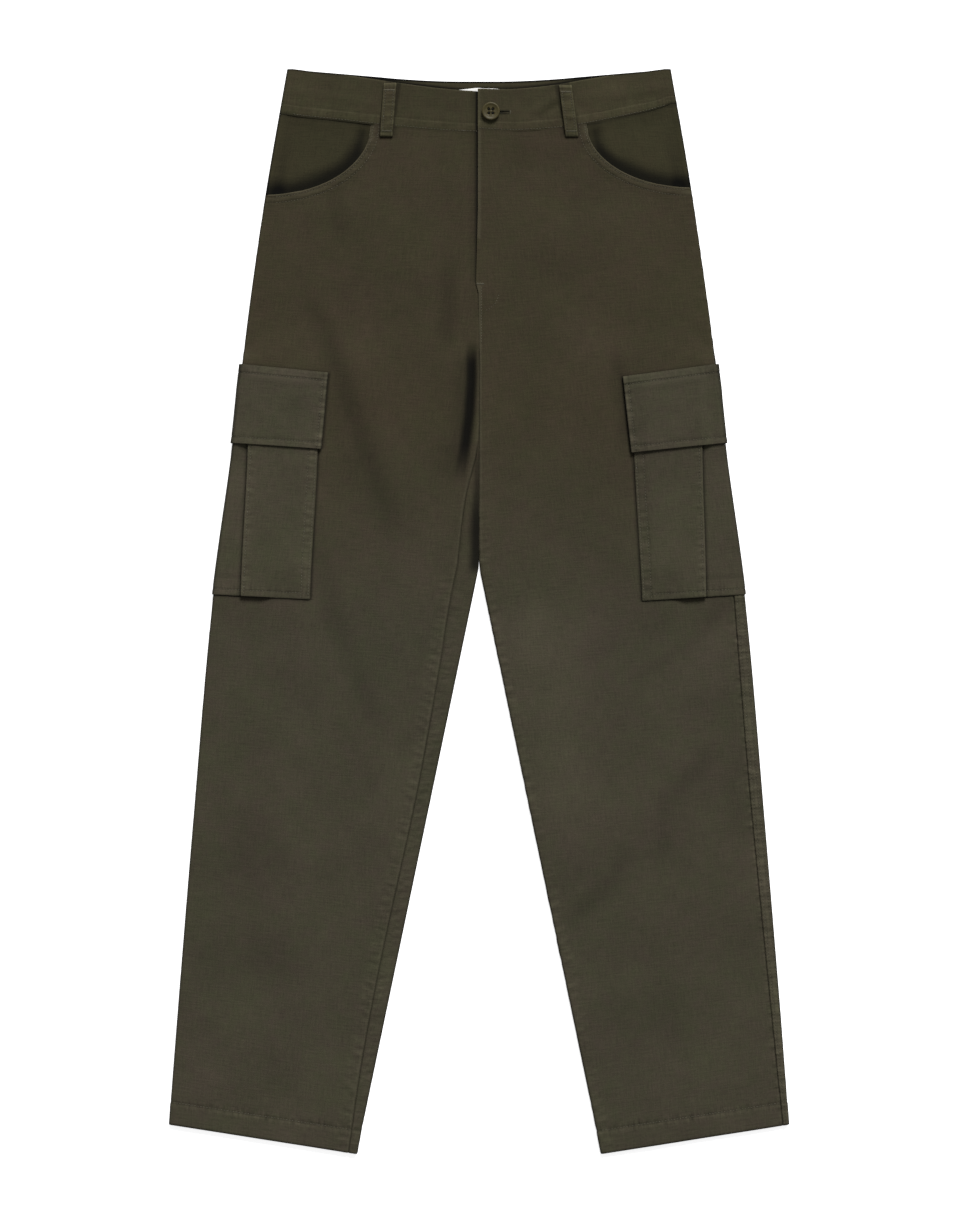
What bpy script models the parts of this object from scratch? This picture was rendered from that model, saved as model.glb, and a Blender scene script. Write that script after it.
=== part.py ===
"""Cargo trousers laid flat on their back, front side up.

Each leg is a flat tube of cloth: a lower layer on the surface, an upper layer over it, and
a soft roll at each edge that joins them. Every piece is a thin sheet placed on that tube by
two coordinates: the row, named by its height at the outer edge, and the girth, the distance
round the cloth from an edge. Girth is positive on top and negative beneath.
"""
import math
from collections import namedtuple

import bmesh
import bpy

# All sizes and places below are millimetres. X is the wearer's left, Y points to the waist.
MM = 0.001
LEFT = 1
RIGHT = -1
SIDES = {LEFT: "left", RIGHT: "right"}
UPPER = 1
LOWER = -1

CLOTH = 1.0
SEAM_GAP = 0.3
BAND_CLOTH = 2.0
FLAP_CLOTH = 1.4
LOOP_CLOTH = 1.6
EDGE_RADIUS = 1.8
HEM_RADIUS = 2.2
BAND_RADIUS = 1.5
BAND_FLAT = BAND_CLOTH / 2 + 2 * BAND_RADIUS

CENTRE_GAP = 0.3
BAND_SEAM = -6.0
FORK_HEIGHT = 44.0
FORK_SOFTNESS = 5.0
LEG_SPREAD = 0.2085
RISE_OPEN = 270.0
RISE_CLOSED = 236.0
YOKE_HEIGHT = 371.0

Section = namedtuple("Section", "height value")
Waist = namedtuple("Waist", "across seam top")
Mouth = namedtuple("Mouth", "centre_x top reach drop")
Pocket = namedtuple("Pocket", "height inner fold")
Crease = namedtuple("Crease", "x0 y0 x1 y1 half_width rise")
Loop = namedtuple("Loop", "top_x top_y foot_x foot_y")
Finish = namedtuple("Finish", "red green blue roughness")

LEG_TWILL = Finish(65, 61, 49, 0.92)
POCKET_TWILL = Finish(69, 66, 54, 0.92)
BAND_TWILL = Finish(61, 58, 45, 0.92)
FACING_TWILL = Finish(56, 53, 38, 0.92)
BUTTON_RESIN = Finish(72, 67, 48, 0.45)
LABEL_CLOTH = Finish(214, 212, 206, 0.9)
ZIP_TAPE = Finish(58, 54, 42, 0.85)

OUTLINE = [
    Section(542.0, 192.0), Section(421.0, 213.0), Section(311.0, 229.0), Section(251.0, 236.4),
    Section(167.0, 245.4), Section(16.0, 265.9), Section(-209.0, 286.0), Section(-439.0, 304.6),
    Section(-512.4, 310.2),
]
ROW_SLOPE = {
    LEFT: [
        Section(371.0, 0.0), Section(246.6, 0.133), Section(167.5, 0.104),
        Section(16.5, 0.0634), Section(-120.0, 0.080), Section(-512.4, 0.157),
    ],
    RIGHT: [
        Section(371.0, 0.0), Section(246.6, 0.0986), Section(167.5, 0.0676),
        Section(16.5, 0.0518), Section(-120.0, 0.075), Section(-512.4, 0.157),
    ],
}
OUTSEAM = {
    LEFT: [
        Section(542.0, 1.0), Section(251.0, 1.0), Section(160.0, 5.0), Section(11.0, 12.0),
        Section(-129.0, 13.8), Section(-489.0, 8.0), Section(-512.4, 7.3),
    ],
    RIGHT: [Section(542.0, -1.5), Section(251.0, -1.5), Section(16.0, -5.0), Section(-512.4, -6.0)],
}
INSEAM = {
    LEFT: [Section(236.0, 0.0), Section(200.0, -1.5), Section(150.0, -4.5), Section(-542.0, -4.5)],
    RIGHT: [
        Section(236.0, 0.0), Section(166.0, 2.0), Section(111.0, 14.5), Section(51.0, 21.5),
        Section(21.0, 22.5), Section(-62.0, 18.8), Section(-177.0, 15.5), Section(-361.0, 16.5),
        Section(-456.0, 14.3), Section(-541.0, 9.5),
    ],
}
FRONT_WAIST = {
    LEFT: [
        Waist(0.0, 481.0, 521.8), Waist(38.0, 479.3, 521.6), Waist(81.0, 482.7, 526.4),
        Waist(108.0, 486.8, 531.0), Waist(141.0, 493.5, 536.0), Waist(174.0, 501.0, 539.4),
        Waist(188.0, 506.5, 541.6), Waist(200.0, 506.5, 542.0),
    ],
    RIGHT: [
        Waist(0.0, 478.0, 519.3), Waist(38.0, 479.9, 522.4), Waist(81.0, 483.9, 527.7),
        Waist(108.0, 486.5, 531.6), Waist(141.0, 490.2, 536.2), Waist(174.0, 493.6, 539.4),
        Waist(188.0, 496.5, 541.6), Waist(200.0, 496.5, 542.0),
    ],
}
BACK_WAIST = {
    LEFT: [
        Waist(0.0, 490.0, 530.0), Waist(38.0, 490.7, 530.3), Waist(81.0, 493.4, 532.5),
        Waist(108.0, 496.0, 534.8), Waist(141.0, 499.7, 537.5), Waist(174.0, 503.4, 540.2),
        Waist(188.0, 506.5, 541.6), Waist(200.0, 506.5, 542.0),
    ],
    RIGHT: [
        Waist(0.0, 490.0, 530.0), Waist(38.0, 490.2, 530.3), Waist(81.0, 491.2, 532.5),
        Waist(108.0, 492.2, 534.8), Waist(141.0, 493.6, 537.5), Waist(174.0, 495.2, 540.2),
        Waist(188.0, 496.5, 541.6), Waist(200.0, 496.5, 542.0),
    ],
}
FLY_EDGE = {
    LEFT: [
        Section(530.0, -1.0), Section(400.0, -1.2), Section(328.0, -3.0),
        Section(316.0, CENTRE_GAP / 2),
    ],
    RIGHT: [Section(530.0, -5.0), Section(336.0, -5.0), Section(316.0, CENTRE_GAP / 2)],
}
FLY_LIFT = 1.4
FLY_LAP = 0.5
FLY_FOOT = (272.0, 290.0)
FLY_STEP = (292.0, 314.0)
FLY_REACH = (38.0, 12.0)
WAIST_FOLLOW = 0.8
WAIST_RISE = (440.0, 478.0)
HIP_MOUTH = {LEFT: Mouth(212.0, 486.8, 104.0, 63.3), RIGHT: Mouth(211.0, 486.5, 103.0, 70.2)}
MOUTH_STAND = 0.5
FACING_SINK = 1.5
FACING_MARGIN = 18.0
FACING_SLOPE = (2.0, 10.0)
FACING_TUCK = (11.0, 24.0)

# Cargo pockets: heights at the outer edge, and distances in from it.
FLAP_TOP = 246.6
FLAP_RIDGE_FOOT = 239.6
POCKET_MOUTH = 232.0
FLAP_FOOT = 167.5
POCKET_FOOT = 16.5
POCKET_RAMP = 20.0
POCKET_FIELD = 106.0
PLEAT_DEPTH = 12.0
PLEAT_PITCH = 1.35
PLEAT_SETTLE = (22.0, 6.0)
POCKET_SLOPE = 16.0
UNDERLAY_OUT = 1.4
POCKET_OUT = UNDERLAY_OUT + 2 * PLEAT_PITCH
FLAP_CLEARANCE = 0.35
FLAP_SPAN = 13.0
FLAP_SEAT = (3.0, 14.0)
FLAP_RIDGE = 0.7
POCKET = {
    LEFT: [Pocket(232.0, 88.0, 21.5), Pocket(167.5, 91.0, 23.0), Pocket(16.5, 103.0, 39.6)],
    RIGHT: [Pocket(232.0, 80.0, 13.5), Pocket(167.5, 84.5, 15.0), Pocket(16.5, 97.0, 28.2)],
}
FLAP_WIDTH = {
    LEFT: [Section(246.6, 94.0), Section(167.5, 93.4)],
    RIGHT: [Section(246.6, 86.6), Section(167.5, 87.8)],
}
FLAP_OUT = UNDERLAY_OUT + CLOTH / 2 + FLAP_CLEARANCE + FLAP_CLOTH / 2

HEM_HEIGHT = -512.4
HEM_DEPTH = 21.0
HEM_PITCH = 1.3
HEM_SWELL = (46.0, 26.0)

# The main creases of the upper layer: hollows are below zero, swells above.
CREASES = [
    Crease(-165.0, 318.0, -88.0, 70.0, 26.0, -1.1),
    Crease(-162.0, 52.0, -86.0, -135.0, 24.0, -0.6),
    Crease(-30.0, 350.0, -33.0, 264.0, 16.0, -0.6),
    Crease(-12.0, 262.0, -19.0, 140.0, 12.0, -1.3),
    Crease(250.0, 5.0, 152.0, -70.0, 20.0, -0.5),
    Crease(230.0, -130.0, 180.0, -245.0, 20.0, -0.7),
    Crease(144.0, -246.0, 92.0, -304.0, 18.0, -0.7),
    Crease(44.0, 10.0, 108.0, -215.0, 50.0, 0.6),
]

LOOPS = {
    LEFT: Loop(86.3, 525.0, 93.0, 474.3),
    RIGHT: Loop(-88.8, 527.5, -92.8, 474.3),
}
LOOP_WIDTH = 12.6
LOOP_ARCH = 1.2

UNDERLAP_END = 40.0
OVERLAP_MID = 6.95
UNDERLAP_MID = 4.65
OVERLAP_RAMP = (81.0, 45.0)
UNDERLAP_RAMP = (60.0, 10.0)
BAND_ROLL_END = 5.0
BAND_LEAN = 0.04
BUTTON_X = 11.8
BUTTON_Y = 499.0
BUTTON_DIAMETER = 18.0
BUTTON_THICKNESS = 3.2
BUTTON_RIM = 2.2
BUTTON_DISH = 1.3
BUTTON_HOLE = 2.4
BUTTON_HOLE_SPACING = 3.6
SHANK_RADIUS = 0.7
BUTTONHOLE_START = 10.0
BUTTONHOLE_END = 30.0
BUTTONHOLE_WIDTH = 2.0
LABEL_CENTRE = (1.0, 511.0)
LABEL_SIZE = (50.0, 25.0)
ZIP_TOP = 470.0
ZIP_FOOT = 338.0
ZIP_LEVEL = 2.75
# Across the zip: the tape, with its coil standing up.
ZIP_PROFILE = ((-8.0, 0.0), (6.8, 0.0), (7.4, 0.9), (10.4, 0.9), (11.0, 0.0), (18.0, 0.0))

# Where the rows and columns of points lie. Rows are heights at the outer edge. Columns are
# distances in from an edge, or from the centre for those that end at the waist.
LEG_ROWS = [
    371.0, 352.0, 336.0, 328.0, 316.0, 300.0, 286.0, 266.6, 246.6, 239.6, 232.0,
    210.0, 189.0, 167.5, 147.5, 115.0, 82.0, 50.0, 16.5, -3.5, -45.0, -90.0, -140.0, -190.0,
    -240.0, -300.0, -360.0, -420.0, -466.4, -486.4,
]
TOP_ROWS = 4
FACING_ROWS = 4
HEM_BEND = 4
PLEAT_BEND = 4
ROLL_BEND = 6
LOOP_ROWS = 8
OUTER_COLUMNS = (40.0, 73.0, 106.0, 126.0)
INNER_COLUMNS = (72.0, 46.0, 30.0, 18.0)
INNER_STEP = 2.0
MOUTH_COLUMNS = 6
FRONT_WAIST_COLUMNS = (81.0, 38.0)
BACK_WAIST_COLUMNS = (188.0, 174.0, 141.0, 108.0, 81.0, 60.0, 38.0, 20.0)
FACING_COLUMNS = (96.0, 102.0, 108.0, 119.0, 130.0, 141.0, 157.5, 174.0, 188.0)
POCKET_COLUMNS = (0.0, 4.0, 8.0, 12.0, POCKET_SLOPE)
POCKET_BACK = (0.12, 0.4, 0.7, 1.0)
FLAP_FRONT = (0.0, 0.35, 0.7)
FLAP_BACK = (0.1, 0.4, 0.7, 1.0)
BAND_ROWS = (0.0, 0.35, 0.7, 1.0)
BAND_COLUMNS = {
    LEFT: (
        188.0, 174.0, 141.0, 125.0, 108.0, 94.0, 81.0,
        72.0, 63.0, 54.0, 45.0, 38.0, 19.0, FLY_EDGE[LEFT][0].value,
    ),
    RIGHT: (
        188.0, 174.0, 141.0, 125.0, 108.0, 94.0, 81.0,
        60.0, 38.0, 10.0, 0.0, -UNDERLAP_END / 2, -UNDERLAP_END,
    ),
}
ROLL_END = 9.0
SEAM_STEP = 0.4
ROLL_EASE = 0.08
SETTLE_STEPS = 12


def smooth(part):
    """A soft S from 0 to 1."""
    part = max(0.0, min(1.0, part))
    return part * part * (3.0 - 2.0 * part)


def ease(value, start, end):
    """0 at start and before it, 1 at end and past it."""
    return smooth((value - start) / (end - start))


def blend(low, high, part):
    """The value that lies part of the way from low to high."""
    return low + (high - low) * part


def read(table, key, column=1, soft=True):
    """Reads a column at key, along a soft curve through the rows or straight between them."""
    rows = sorted(table)
    if key <= rows[0][0]:
        return rows[0][column]
    if key >= rows[-1][0]:
        return rows[-1][column]
    place = next(n for n in range(len(rows) - 1) if key <= rows[n + 1][0])
    before, after = rows[place], rows[place + 1]
    span = after[0] - before[0]
    part = (key - before[0]) / span
    if not soft:
        return blend(before[column], after[column], part)
    rise = (after[column] - before[column]) / span
    lead = tail = rise
    if place > 0:
        earlier = rows[place - 1]
        lead = (rise + (before[column] - earlier[column]) / (before[0] - earlier[0])) / 2
    if place + 2 < len(rows):
        later = rows[place + 2]
        tail = (rise + (later[column] - after[column]) / (later[0] - after[0])) / 2
    square, cube = part * part, part * part * part
    return (
        (2 * cube - 3 * square + 1) * before[column] + (cube - 2 * square + part) * lead * span
        + (3 * square - 2 * cube) * after[column] + (cube - square) * tail * span
    )


def inner_edge(height):
    """Distance of a leg's inner edge from the centre: closed down to the fork, then spreading."""
    below = FORK_HEIGHT - height
    return CENTRE_GAP / 2 + LEG_SPREAD * (below + math.hypot(below, FORK_SOFTNESS)) / 2


def edge_radius(height):
    """Radius of the roll at the edges of a leg, which is fuller over the turned hem."""
    start, end = HEM_SWELL
    return blend(EDGE_RADIUS, HEM_RADIUS, ease(height, HEM_HEIGHT + start, HEM_HEIGHT + end))


def row_ends(side, height, front=False):
    """Outer end, inner end and inward direction of a row, in the half's own x and y."""
    slope = read(ROW_SLOPE[side], height)
    outer = read(OUTLINE, height)
    width = outer
    for _ in range(SETTLE_STEPS):
        y = height - slope * width
        inner = inner_edge(y)
        if front and y > FLY_EDGE[side][-1].height:
            inner = read(FLY_EDGE[side], y, soft=False)
        width = outer - inner
    length = math.hypot(1.0, slope)
    return (outer, height), (inner, y), (-1.0 / length, -slope / length)


def row_width(side, height, front=False):
    """Width of a row from its outer edge to its inner edge."""
    outer, inner, _ = row_ends(side, height, front)
    return math.dist(outer, inner)


def base_lift(height, inset):
    """How far the rear pocket and flap, lying flat beneath, lift the leg's lower layer."""
    across = ease(inset, POCKET_FIELD + POCKET_RAMP, POCKET_FIELD)
    above = ease(height, FLAP_TOP + POCKET_RAMP, FLAP_TOP)
    pocket = ease(height, POCKET_FOOT - POCKET_RAMP, POCKET_FOOT)
    flap = ease(height, FLAP_FOOT - POCKET_RAMP, FLAP_FOOT)
    flap_lift = FLAP_OUT + FLAP_CLOTH / 2 - CLOTH / 2
    return across * above * (pocket * UNDERLAY_OUT + flap * (flap_lift - UNDERLAY_OUT))


def crease_lift(x, y):
    """Rise of the creases at a place on the garment."""
    total = 0.0
    for crease in CREASES:
        run_x, run_y = crease.x1 - crease.x0, crease.y1 - crease.y0
        length = math.hypot(run_x, run_y)
        along = ((x - crease.x0) * run_x + (y - crease.y0) * run_y) / (length * length)
        along = max(0.0, min(1.0, along))
        away = math.hypot(x - crease.x0 - along * run_x, y - crease.y0 - along * run_y)
        total += crease.rise * smooth(1.0 - away / crease.half_width)
    return total


def band_front_level(side, x):
    """Mid-level of the front waistband: it rises to lie over the underlap at the centre."""
    if side == LEFT:
        return blend(BAND_FLAT, OVERLAP_MID, ease(x, *OVERLAP_RAMP))
    return blend(BAND_FLAT, UNDERLAP_MID, ease(x, *UNDERLAP_RAMP))


def fly_lift(side, x, y):
    """Lift of a front panel: over its neighbour along the fly, and up to the waistband."""
    lift = WAIST_FOLLOW * (band_front_level(side, x) - BAND_FLAT) * ease(y, *WAIST_RISE)
    if side == LEFT:
        lap = blend(FLY_LAP, FLY_LIFT, ease(y, *FLY_STEP)) * ease(y, *FLY_FOOT)
        lift = max(lift, lap * ease(x, *FLY_REACH))
    return lift


def levels(side, height, inset, x, y):
    """Mid-levels of the lower and upper layers at a place on the leg."""
    low = CLOTH / 2 + base_lift(height, inset)
    high = low + 2 * edge_radius(height) + crease_lift(side * x, y) + fly_lift(side, x, y)
    return low, high


def from_outer(side, height, girth, out=0.0):
    """A point by its girth from the outer edge, moved out of the cloth by out."""
    outer, _, inward = row_ends(side, height)
    radius = edge_radius(height)
    quarter = radius * math.pi / 2
    if abs(girth) <= quarter:
        turn = girth / radius
        inset = radius - (radius + out) * math.cos(turn)
        rise = (radius + out) * math.sin(turn)
    else:
        inset = radius + abs(girth) - quarter
        rise = math.copysign(radius + out, girth)
    reach = inset + CLOTH / 2
    x, y = outer[0] + inward[0] * reach, outer[1] + inward[1] * reach
    low, high = levels(side, height, inset, x, y)
    if abs(girth) <= quarter:
        z = low + radius + rise
    else:
        z = high + out if girth > 0 else low - out
    return side * x, y, z


def from_inner(side, height, girth, out=0.0, front=False):
    """A point by its girth from the inner edge, which is a plain seam above the crotch."""
    _, inner, inward = row_ends(side, height, front)
    width = row_width(side, height, front)
    radius = edge_radius(height)
    quarter = radius * math.pi / 2
    closed = ease(inner[1], RISE_OPEN, RISE_CLOSED)
    full = closed * math.pi / 2
    on_roll = abs(girth) < quarter
    drop = 0.0
    if closed < 0.001:
        inset = abs(girth) - SEAM_GAP / 2
    else:
        big = radius / closed
        bend = full * max(0.0, 1.0 - abs(girth) / quarter)
        inset = CLOTH / 2 * math.sin(full) + big * math.sin(full) - (big + out) * math.sin(bend)
        inset += max(0.0, abs(girth) - quarter)
        drop = (big + out) * (1.0 - math.cos(bend))
    x, y = inner[0] - inward[0] * inset, inner[1] - inward[1] * inset
    low, high = levels(side, height, width - inset, x, y)
    if closed > 0.999 and on_roll:
        high = low + 2 * radius
    z = high + out - drop if girth > 0 else low - out + drop
    return side * x, y, z


def linear(channel):
    """A display colour channel, 0 to 255, as linear light."""
    part = channel / 255
    return part / 12.92 if part <= 0.04045 else ((part + 0.055) / 1.055) ** 2.4


def new_material(name, finish):
    """A material of one plain colour and roughness."""
    material = bpy.data.materials.new(name)
    material.use_nodes = True
    shader = material.node_tree.nodes["Principled BSDF"]
    colour = (linear(finish.red), linear(finish.green), linear(finish.blue), 1.0)
    shader.inputs["Base Color"].default_value = colour
    shader.inputs["Roughness"].default_value = finish.roughness
    return material


def finish_mesh(name, bm, collection, finish=None):
    """Makes the object, in metres, shades its faces smooth and gives it its own material."""
    bmesh.ops.scale(bm, vec=(MM, MM, MM), verts=bm.verts)
    mesh = bpy.data.meshes.new(name)
    for face in bm.faces:
        face.smooth = True
    bm.to_mesh(mesh)
    bm.free()
    piece = bpy.data.objects.new(name, mesh)
    collection.objects.link(piece)
    if finish:
        mesh.materials.append(new_material(name, finish))
    return piece


def sheet(name, columns, rows, place, thickness, collection, finish):
    """A grid of columns by rows points, each put in its place, thickened about its middle."""
    bm = bmesh.new()
    bmesh.ops.create_grid(bm, x_segments=columns - 1, y_segments=rows - 1, size=1.0)
    for vertex in bm.verts:
        column = round((vertex.co.x + 1.0) / 2.0 * (columns - 1))
        row = round((vertex.co.y + 1.0) / 2.0 * (rows - 1))
        vertex.co = place(column, row)
    piece = finish_mesh(name, bm, collection, finish)
    wall = piece.modifiers.new("wall", "SOLIDIFY")
    wall.thickness = thickness * MM
    wall.offset = 0.0
    wall.use_even_offset = True
    return piece


def hem_rows():
    """Height and offset of the rows that turn the cloth up inside the leg at the hem."""
    turn = HEM_PITCH / 2
    fold = HEM_HEIGHT + CLOTH / 2 + turn
    rows = []
    for step in range(HEM_BEND + 1):
        angle = math.pi * step / HEM_BEND
        rows.append((fold - turn * math.sin(angle), -turn * (1.0 - math.cos(angle))))
    rows.append((fold + HEM_DEPTH / 2, -HEM_PITCH))
    rows.append((fold + HEM_DEPTH, -HEM_PITCH))
    return rows


def roll_girths(seam, radius, layer, wrapped):
    """Girths from a seam to the flat of a layer, going round the edge if wrapped."""
    quarter = radius * math.pi / 2
    start = layer * seam + SEAM_GAP / 2 + (ROLL_EASE if abs(seam) < quarter else 0.0)
    nodes = [start, start + SEAM_STEP, quarter, ROLL_END]
    if wrapped:
        nodes = [start, -quarter, -quarter / 2, 0.0, quarter / 2, quarter, ROLL_END]
    return [layer * max(node, start + SEAM_STEP * n) for n, node in enumerate(nodes)]


def edge_girths(side, height, layer):
    """Girths at the outer and at the inner edge of a panel's row."""
    radius = edge_radius(height)
    inner_height = row_ends(side, height, layer == UPPER)[1][1]
    inseam = read(INSEAM[side], inner_height) if inner_height < RISE_CLOSED else 0.0
    outer = roll_girths(read(OUTSEAM[side], height), radius, layer, layer != side)
    inner = roll_girths(inseam, radius, layer, layer == side)
    return outer, inner


def flat_girth(side, x, y):
    """Girth from the outer edge of a place on the flat of the upper layer, rows level."""
    radius = edge_radius(y)
    return read(OUTLINE, y) - CLOTH / 2 - x + radius * (math.pi / 2 - 1.0)


def panel_columns(side, layer):
    """Numbers of columns on a panel's outer roll, its flat and its inner roll."""
    outer, inner = edge_girths(side, YOKE_HEIGHT, layer)
    return len(outer), len(OUTER_COLUMNS) + len(INNER_COLUMNS), len(inner)


def panel_point(side, height, out, column, layer):
    """A point of a leg panel by column: outer roll, flat columns, then inner roll."""
    outer, inner = edge_girths(side, height, layer)
    flats = len(OUTER_COLUMNS) + len(INNER_COLUMNS)
    if column < len(outer):
        return from_outer(side, height, outer[column], out)
    column -= len(outer)
    if column >= flats:
        girth = inner[len(inner) - 1 - (column - flats)]
        return from_inner(side, height, girth, out, layer == UPPER)
    if column < len(OUTER_COLUMNS):
        inset = OUTER_COLUMNS[column]
    else:
        width = row_width(side, height, layer == UPPER)
        from_edge = INNER_COLUMNS[column - len(OUTER_COLUMNS)]
        spread = (width - OUTER_COLUMNS[-1]) / (INNER_COLUMNS[0] + INNER_STEP)
        beyond_roll = abs(inner[-1]) + INNER_STEP * (flats - column)
        inset = width - max(from_edge * min(1.0, spread), beyond_roll)
    radius = edge_radius(height)
    return from_outer(side, height, layer * (inset + radius * (math.pi / 2 - 1.0)), out)


def front_top(side, column):
    """Place where a flat column of a front panel ends: the pocket mouth, then the waist seam."""
    mouth = HIP_MOUTH[side]
    if column < MOUTH_COLUMNS:
        angle = math.pi / 2 * (1.0 - (column + 1) / MOUTH_COLUMNS)
        x = mouth.centre_x - mouth.reach * math.cos(angle)
        y = mouth.top - mouth.drop * math.sin(angle)
        return x, min(y, read(FRONT_WAIST[side], x, soft=False) - SEAM_GAP / 2)
    x = FRONT_WAIST_COLUMNS[column - MOUTH_COLUMNS]
    return x, read(FRONT_WAIST[side], x, soft=False) - SEAM_GAP / 2


def back_top(side, column):
    """Place where a flat column of a back panel ends, at the waist seam."""
    x = BACK_WAIST_COLUMNS[column]
    return x, read(BACK_WAIST[side], x, soft=False) - SEAM_GAP / 2


def yoke_point(side, layer, column, part):
    """A point above the level rows; part runs from 0 on the top row of those to 1 at the top."""
    outer, flats, _ = panel_columns(side, layer)
    waist = FRONT_WAIST[side] if layer == UPPER else BACK_WAIST[side]
    if column < outer:
        top = waist[-1].seam - SEAM_GAP / 2
        if layer == UPPER:
            top = HIP_MOUTH[side].top - HIP_MOUTH[side].drop - SEAM_GAP / 2
        return panel_point(side, blend(YOKE_HEIGHT, top, part), 0.0, column, layer)
    if column >= outer + flats:
        top = waist[0].seam
        for _ in range(3):
            x = panel_point(side, top, 0.0, column, layer)[0]
            top = read(waist, abs(x), soft=False) - SEAM_GAP / 2
        return panel_point(side, blend(YOKE_HEIGHT, top, part), 0.0, column, layer)
    foot = panel_point(side, YOKE_HEIGHT, 0.0, column, layer)
    top_x, top_y = (front_top if layer == UPPER else back_top)(side, column - outer)
    x, y = blend(side * foot[0], top_x, part), blend(YOKE_HEIGHT, top_y, part)
    point = from_outer(side, y, layer * flat_girth(side, x, y))
    stand = 0.0
    if layer == UPPER and column < outer + MOUTH_COLUMNS - 1:
        stand = MOUTH_STAND * ease(part, 0.6, 1.0)
    return point[0], point[1], point[2] + stand


def build_panel(side, layer, collection, finish):
    """A leg panel: the front is the upper layer and the back the lower one."""
    rows = [(height, 0.0) for height in LEG_ROWS] + hem_rows()

    def place(column, row):
        if row < TOP_ROWS:
            return yoke_point(side, layer, column, 1.0 - row / TOP_ROWS)
        height, out = rows[row - TOP_ROWS]
        return panel_point(side, height, out, column, layer)

    name = ("front_" if layer == UPPER else "back_") + SIDES[side]
    columns = sum(panel_columns(side, layer))
    return sheet(name, columns, TOP_ROWS + len(rows), place, CLOTH, collection, finish)


def build_hip_facing(side, collection, finish):
    """The facing behind the hip pocket mouth: flush at the side, sunk under the front inboard."""
    mouth = HIP_MOUTH[side]
    start = FACING_COLUMNS[0]
    seam = OUTSEAM[side][0].value + SEAM_GAP / 2 + ROLL_EASE
    quarter = EDGE_RADIUS * math.pi / 2
    rolls = (ROLL_END, quarter, quarter / 2, 0.0, seam + SEAM_STEP, seam)
    if side == LEFT:
        rolls = (ROLL_END, 5.0, quarter, blend(quarter, seam, 0.4), seam + SEAM_STEP, seam)
    side_top = FRONT_WAIST[side][-1].seam - SEAM_GAP / 2
    side_foot = mouth.top - mouth.drop + SEAM_GAP / 2

    def edge_column(girth, part):
        height = blend(side_top, side_foot, part)
        return from_outer(side, height, girth), max(0.0, girth - quarter + EDGE_RADIUS)

    def flat_column(top_x, part):
        across = (top_x - start) / (FACING_COLUMNS[-1] - start)
        foot_x = blend(start, read(OUTLINE, side_foot) - ROLL_END - 3.0, across)
        inset = read(OUTLINE, side_foot) - foot_x
        margin = FACING_MARGIN * ease(inset, *FACING_TUCK)
        reach = max(0.0, (mouth.centre_x - foot_x) / (mouth.reach + margin))
        foot = mouth.top - (mouth.drop + margin) * math.sqrt(1.0 - reach * reach)
        foot += SEAM_GAP / 2 * ease(inset, FACING_TUCK[0] + 1.0, FACING_TUCK[0])
        top = read(FRONT_WAIST[side], top_x, soft=False) - SEAM_GAP / 2
        x, y = blend(top_x, foot_x, part), blend(top, foot, part)
        return from_outer(side, y, flat_girth(side, x, y)), read(OUTLINE, y) - x

    def place(column, row):
        part = row / FACING_ROWS
        if column < len(FACING_COLUMNS):
            point, inset = flat_column(FACING_COLUMNS[column], part)
        else:
            point, inset = edge_column(rolls[column - len(FACING_COLUMNS)], part)
        return point[0], point[1], point[2] - FACING_SINK * ease(inset, *FACING_SLOPE)

    return sheet(
        "hip_facing_" + SIDES[side], len(FACING_COLUMNS) + len(rolls), FACING_ROWS + 1, place,
        CLOTH, collection, finish,
    )


def pocket_reach(side, height):
    """Inner edge and pleat fold of the pocket on a row, as girths from the outer edge."""
    shift = EDGE_RADIUS * (math.pi / 2 - 1.0) - CLOTH / 2
    return (
        read(POCKET[side], height, 1, soft=False) + shift,
        read(POCKET[side], height, 2, soft=False) + shift,
    )


def pocket_top(side, height, girth):
    """How far the pocket's outer layer stands out from the leg at a girth."""
    inner, fold = pocket_reach(side, height)
    rise = ease(girth, inner, inner - POCKET_SLOPE)
    under_fold = fold + PLEAT_DEPTH
    near_fold = ease(girth, under_fold + PLEAT_SETTLE[0], under_fold + PLEAT_SETTLE[1])
    settle = blend(1.0, near_fold, ease(height, POCKET_FOOT + POCKET_SLOPE, POCKET_FOOT))
    return blend(UNDERLAY_OUT, POCKET_OUT, rise * settle)


def roll_nodes():
    """Girths round the outer edge, from the top of the roll to its underside."""
    quarter = EDGE_RADIUS * math.pi / 2
    return [quarter * (1.0 - 2.0 * step / ROLL_BEND) for step in range(ROLL_BEND + 1)]


def drape_girths(side, height):
    """Girths, from the pocket's inner edge to its fold, shared by the pocket and its flap."""
    inner, fold = pocket_reach(side, height)
    rise = [inner - step for step in POCKET_COLUMNS]
    near = fold + PLEAT_PITCH / 2 + INNER_STEP
    return rise + [blend(rise[-1], near, part) for part in (0.25, 0.5, 0.75, 1.0)]


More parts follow.
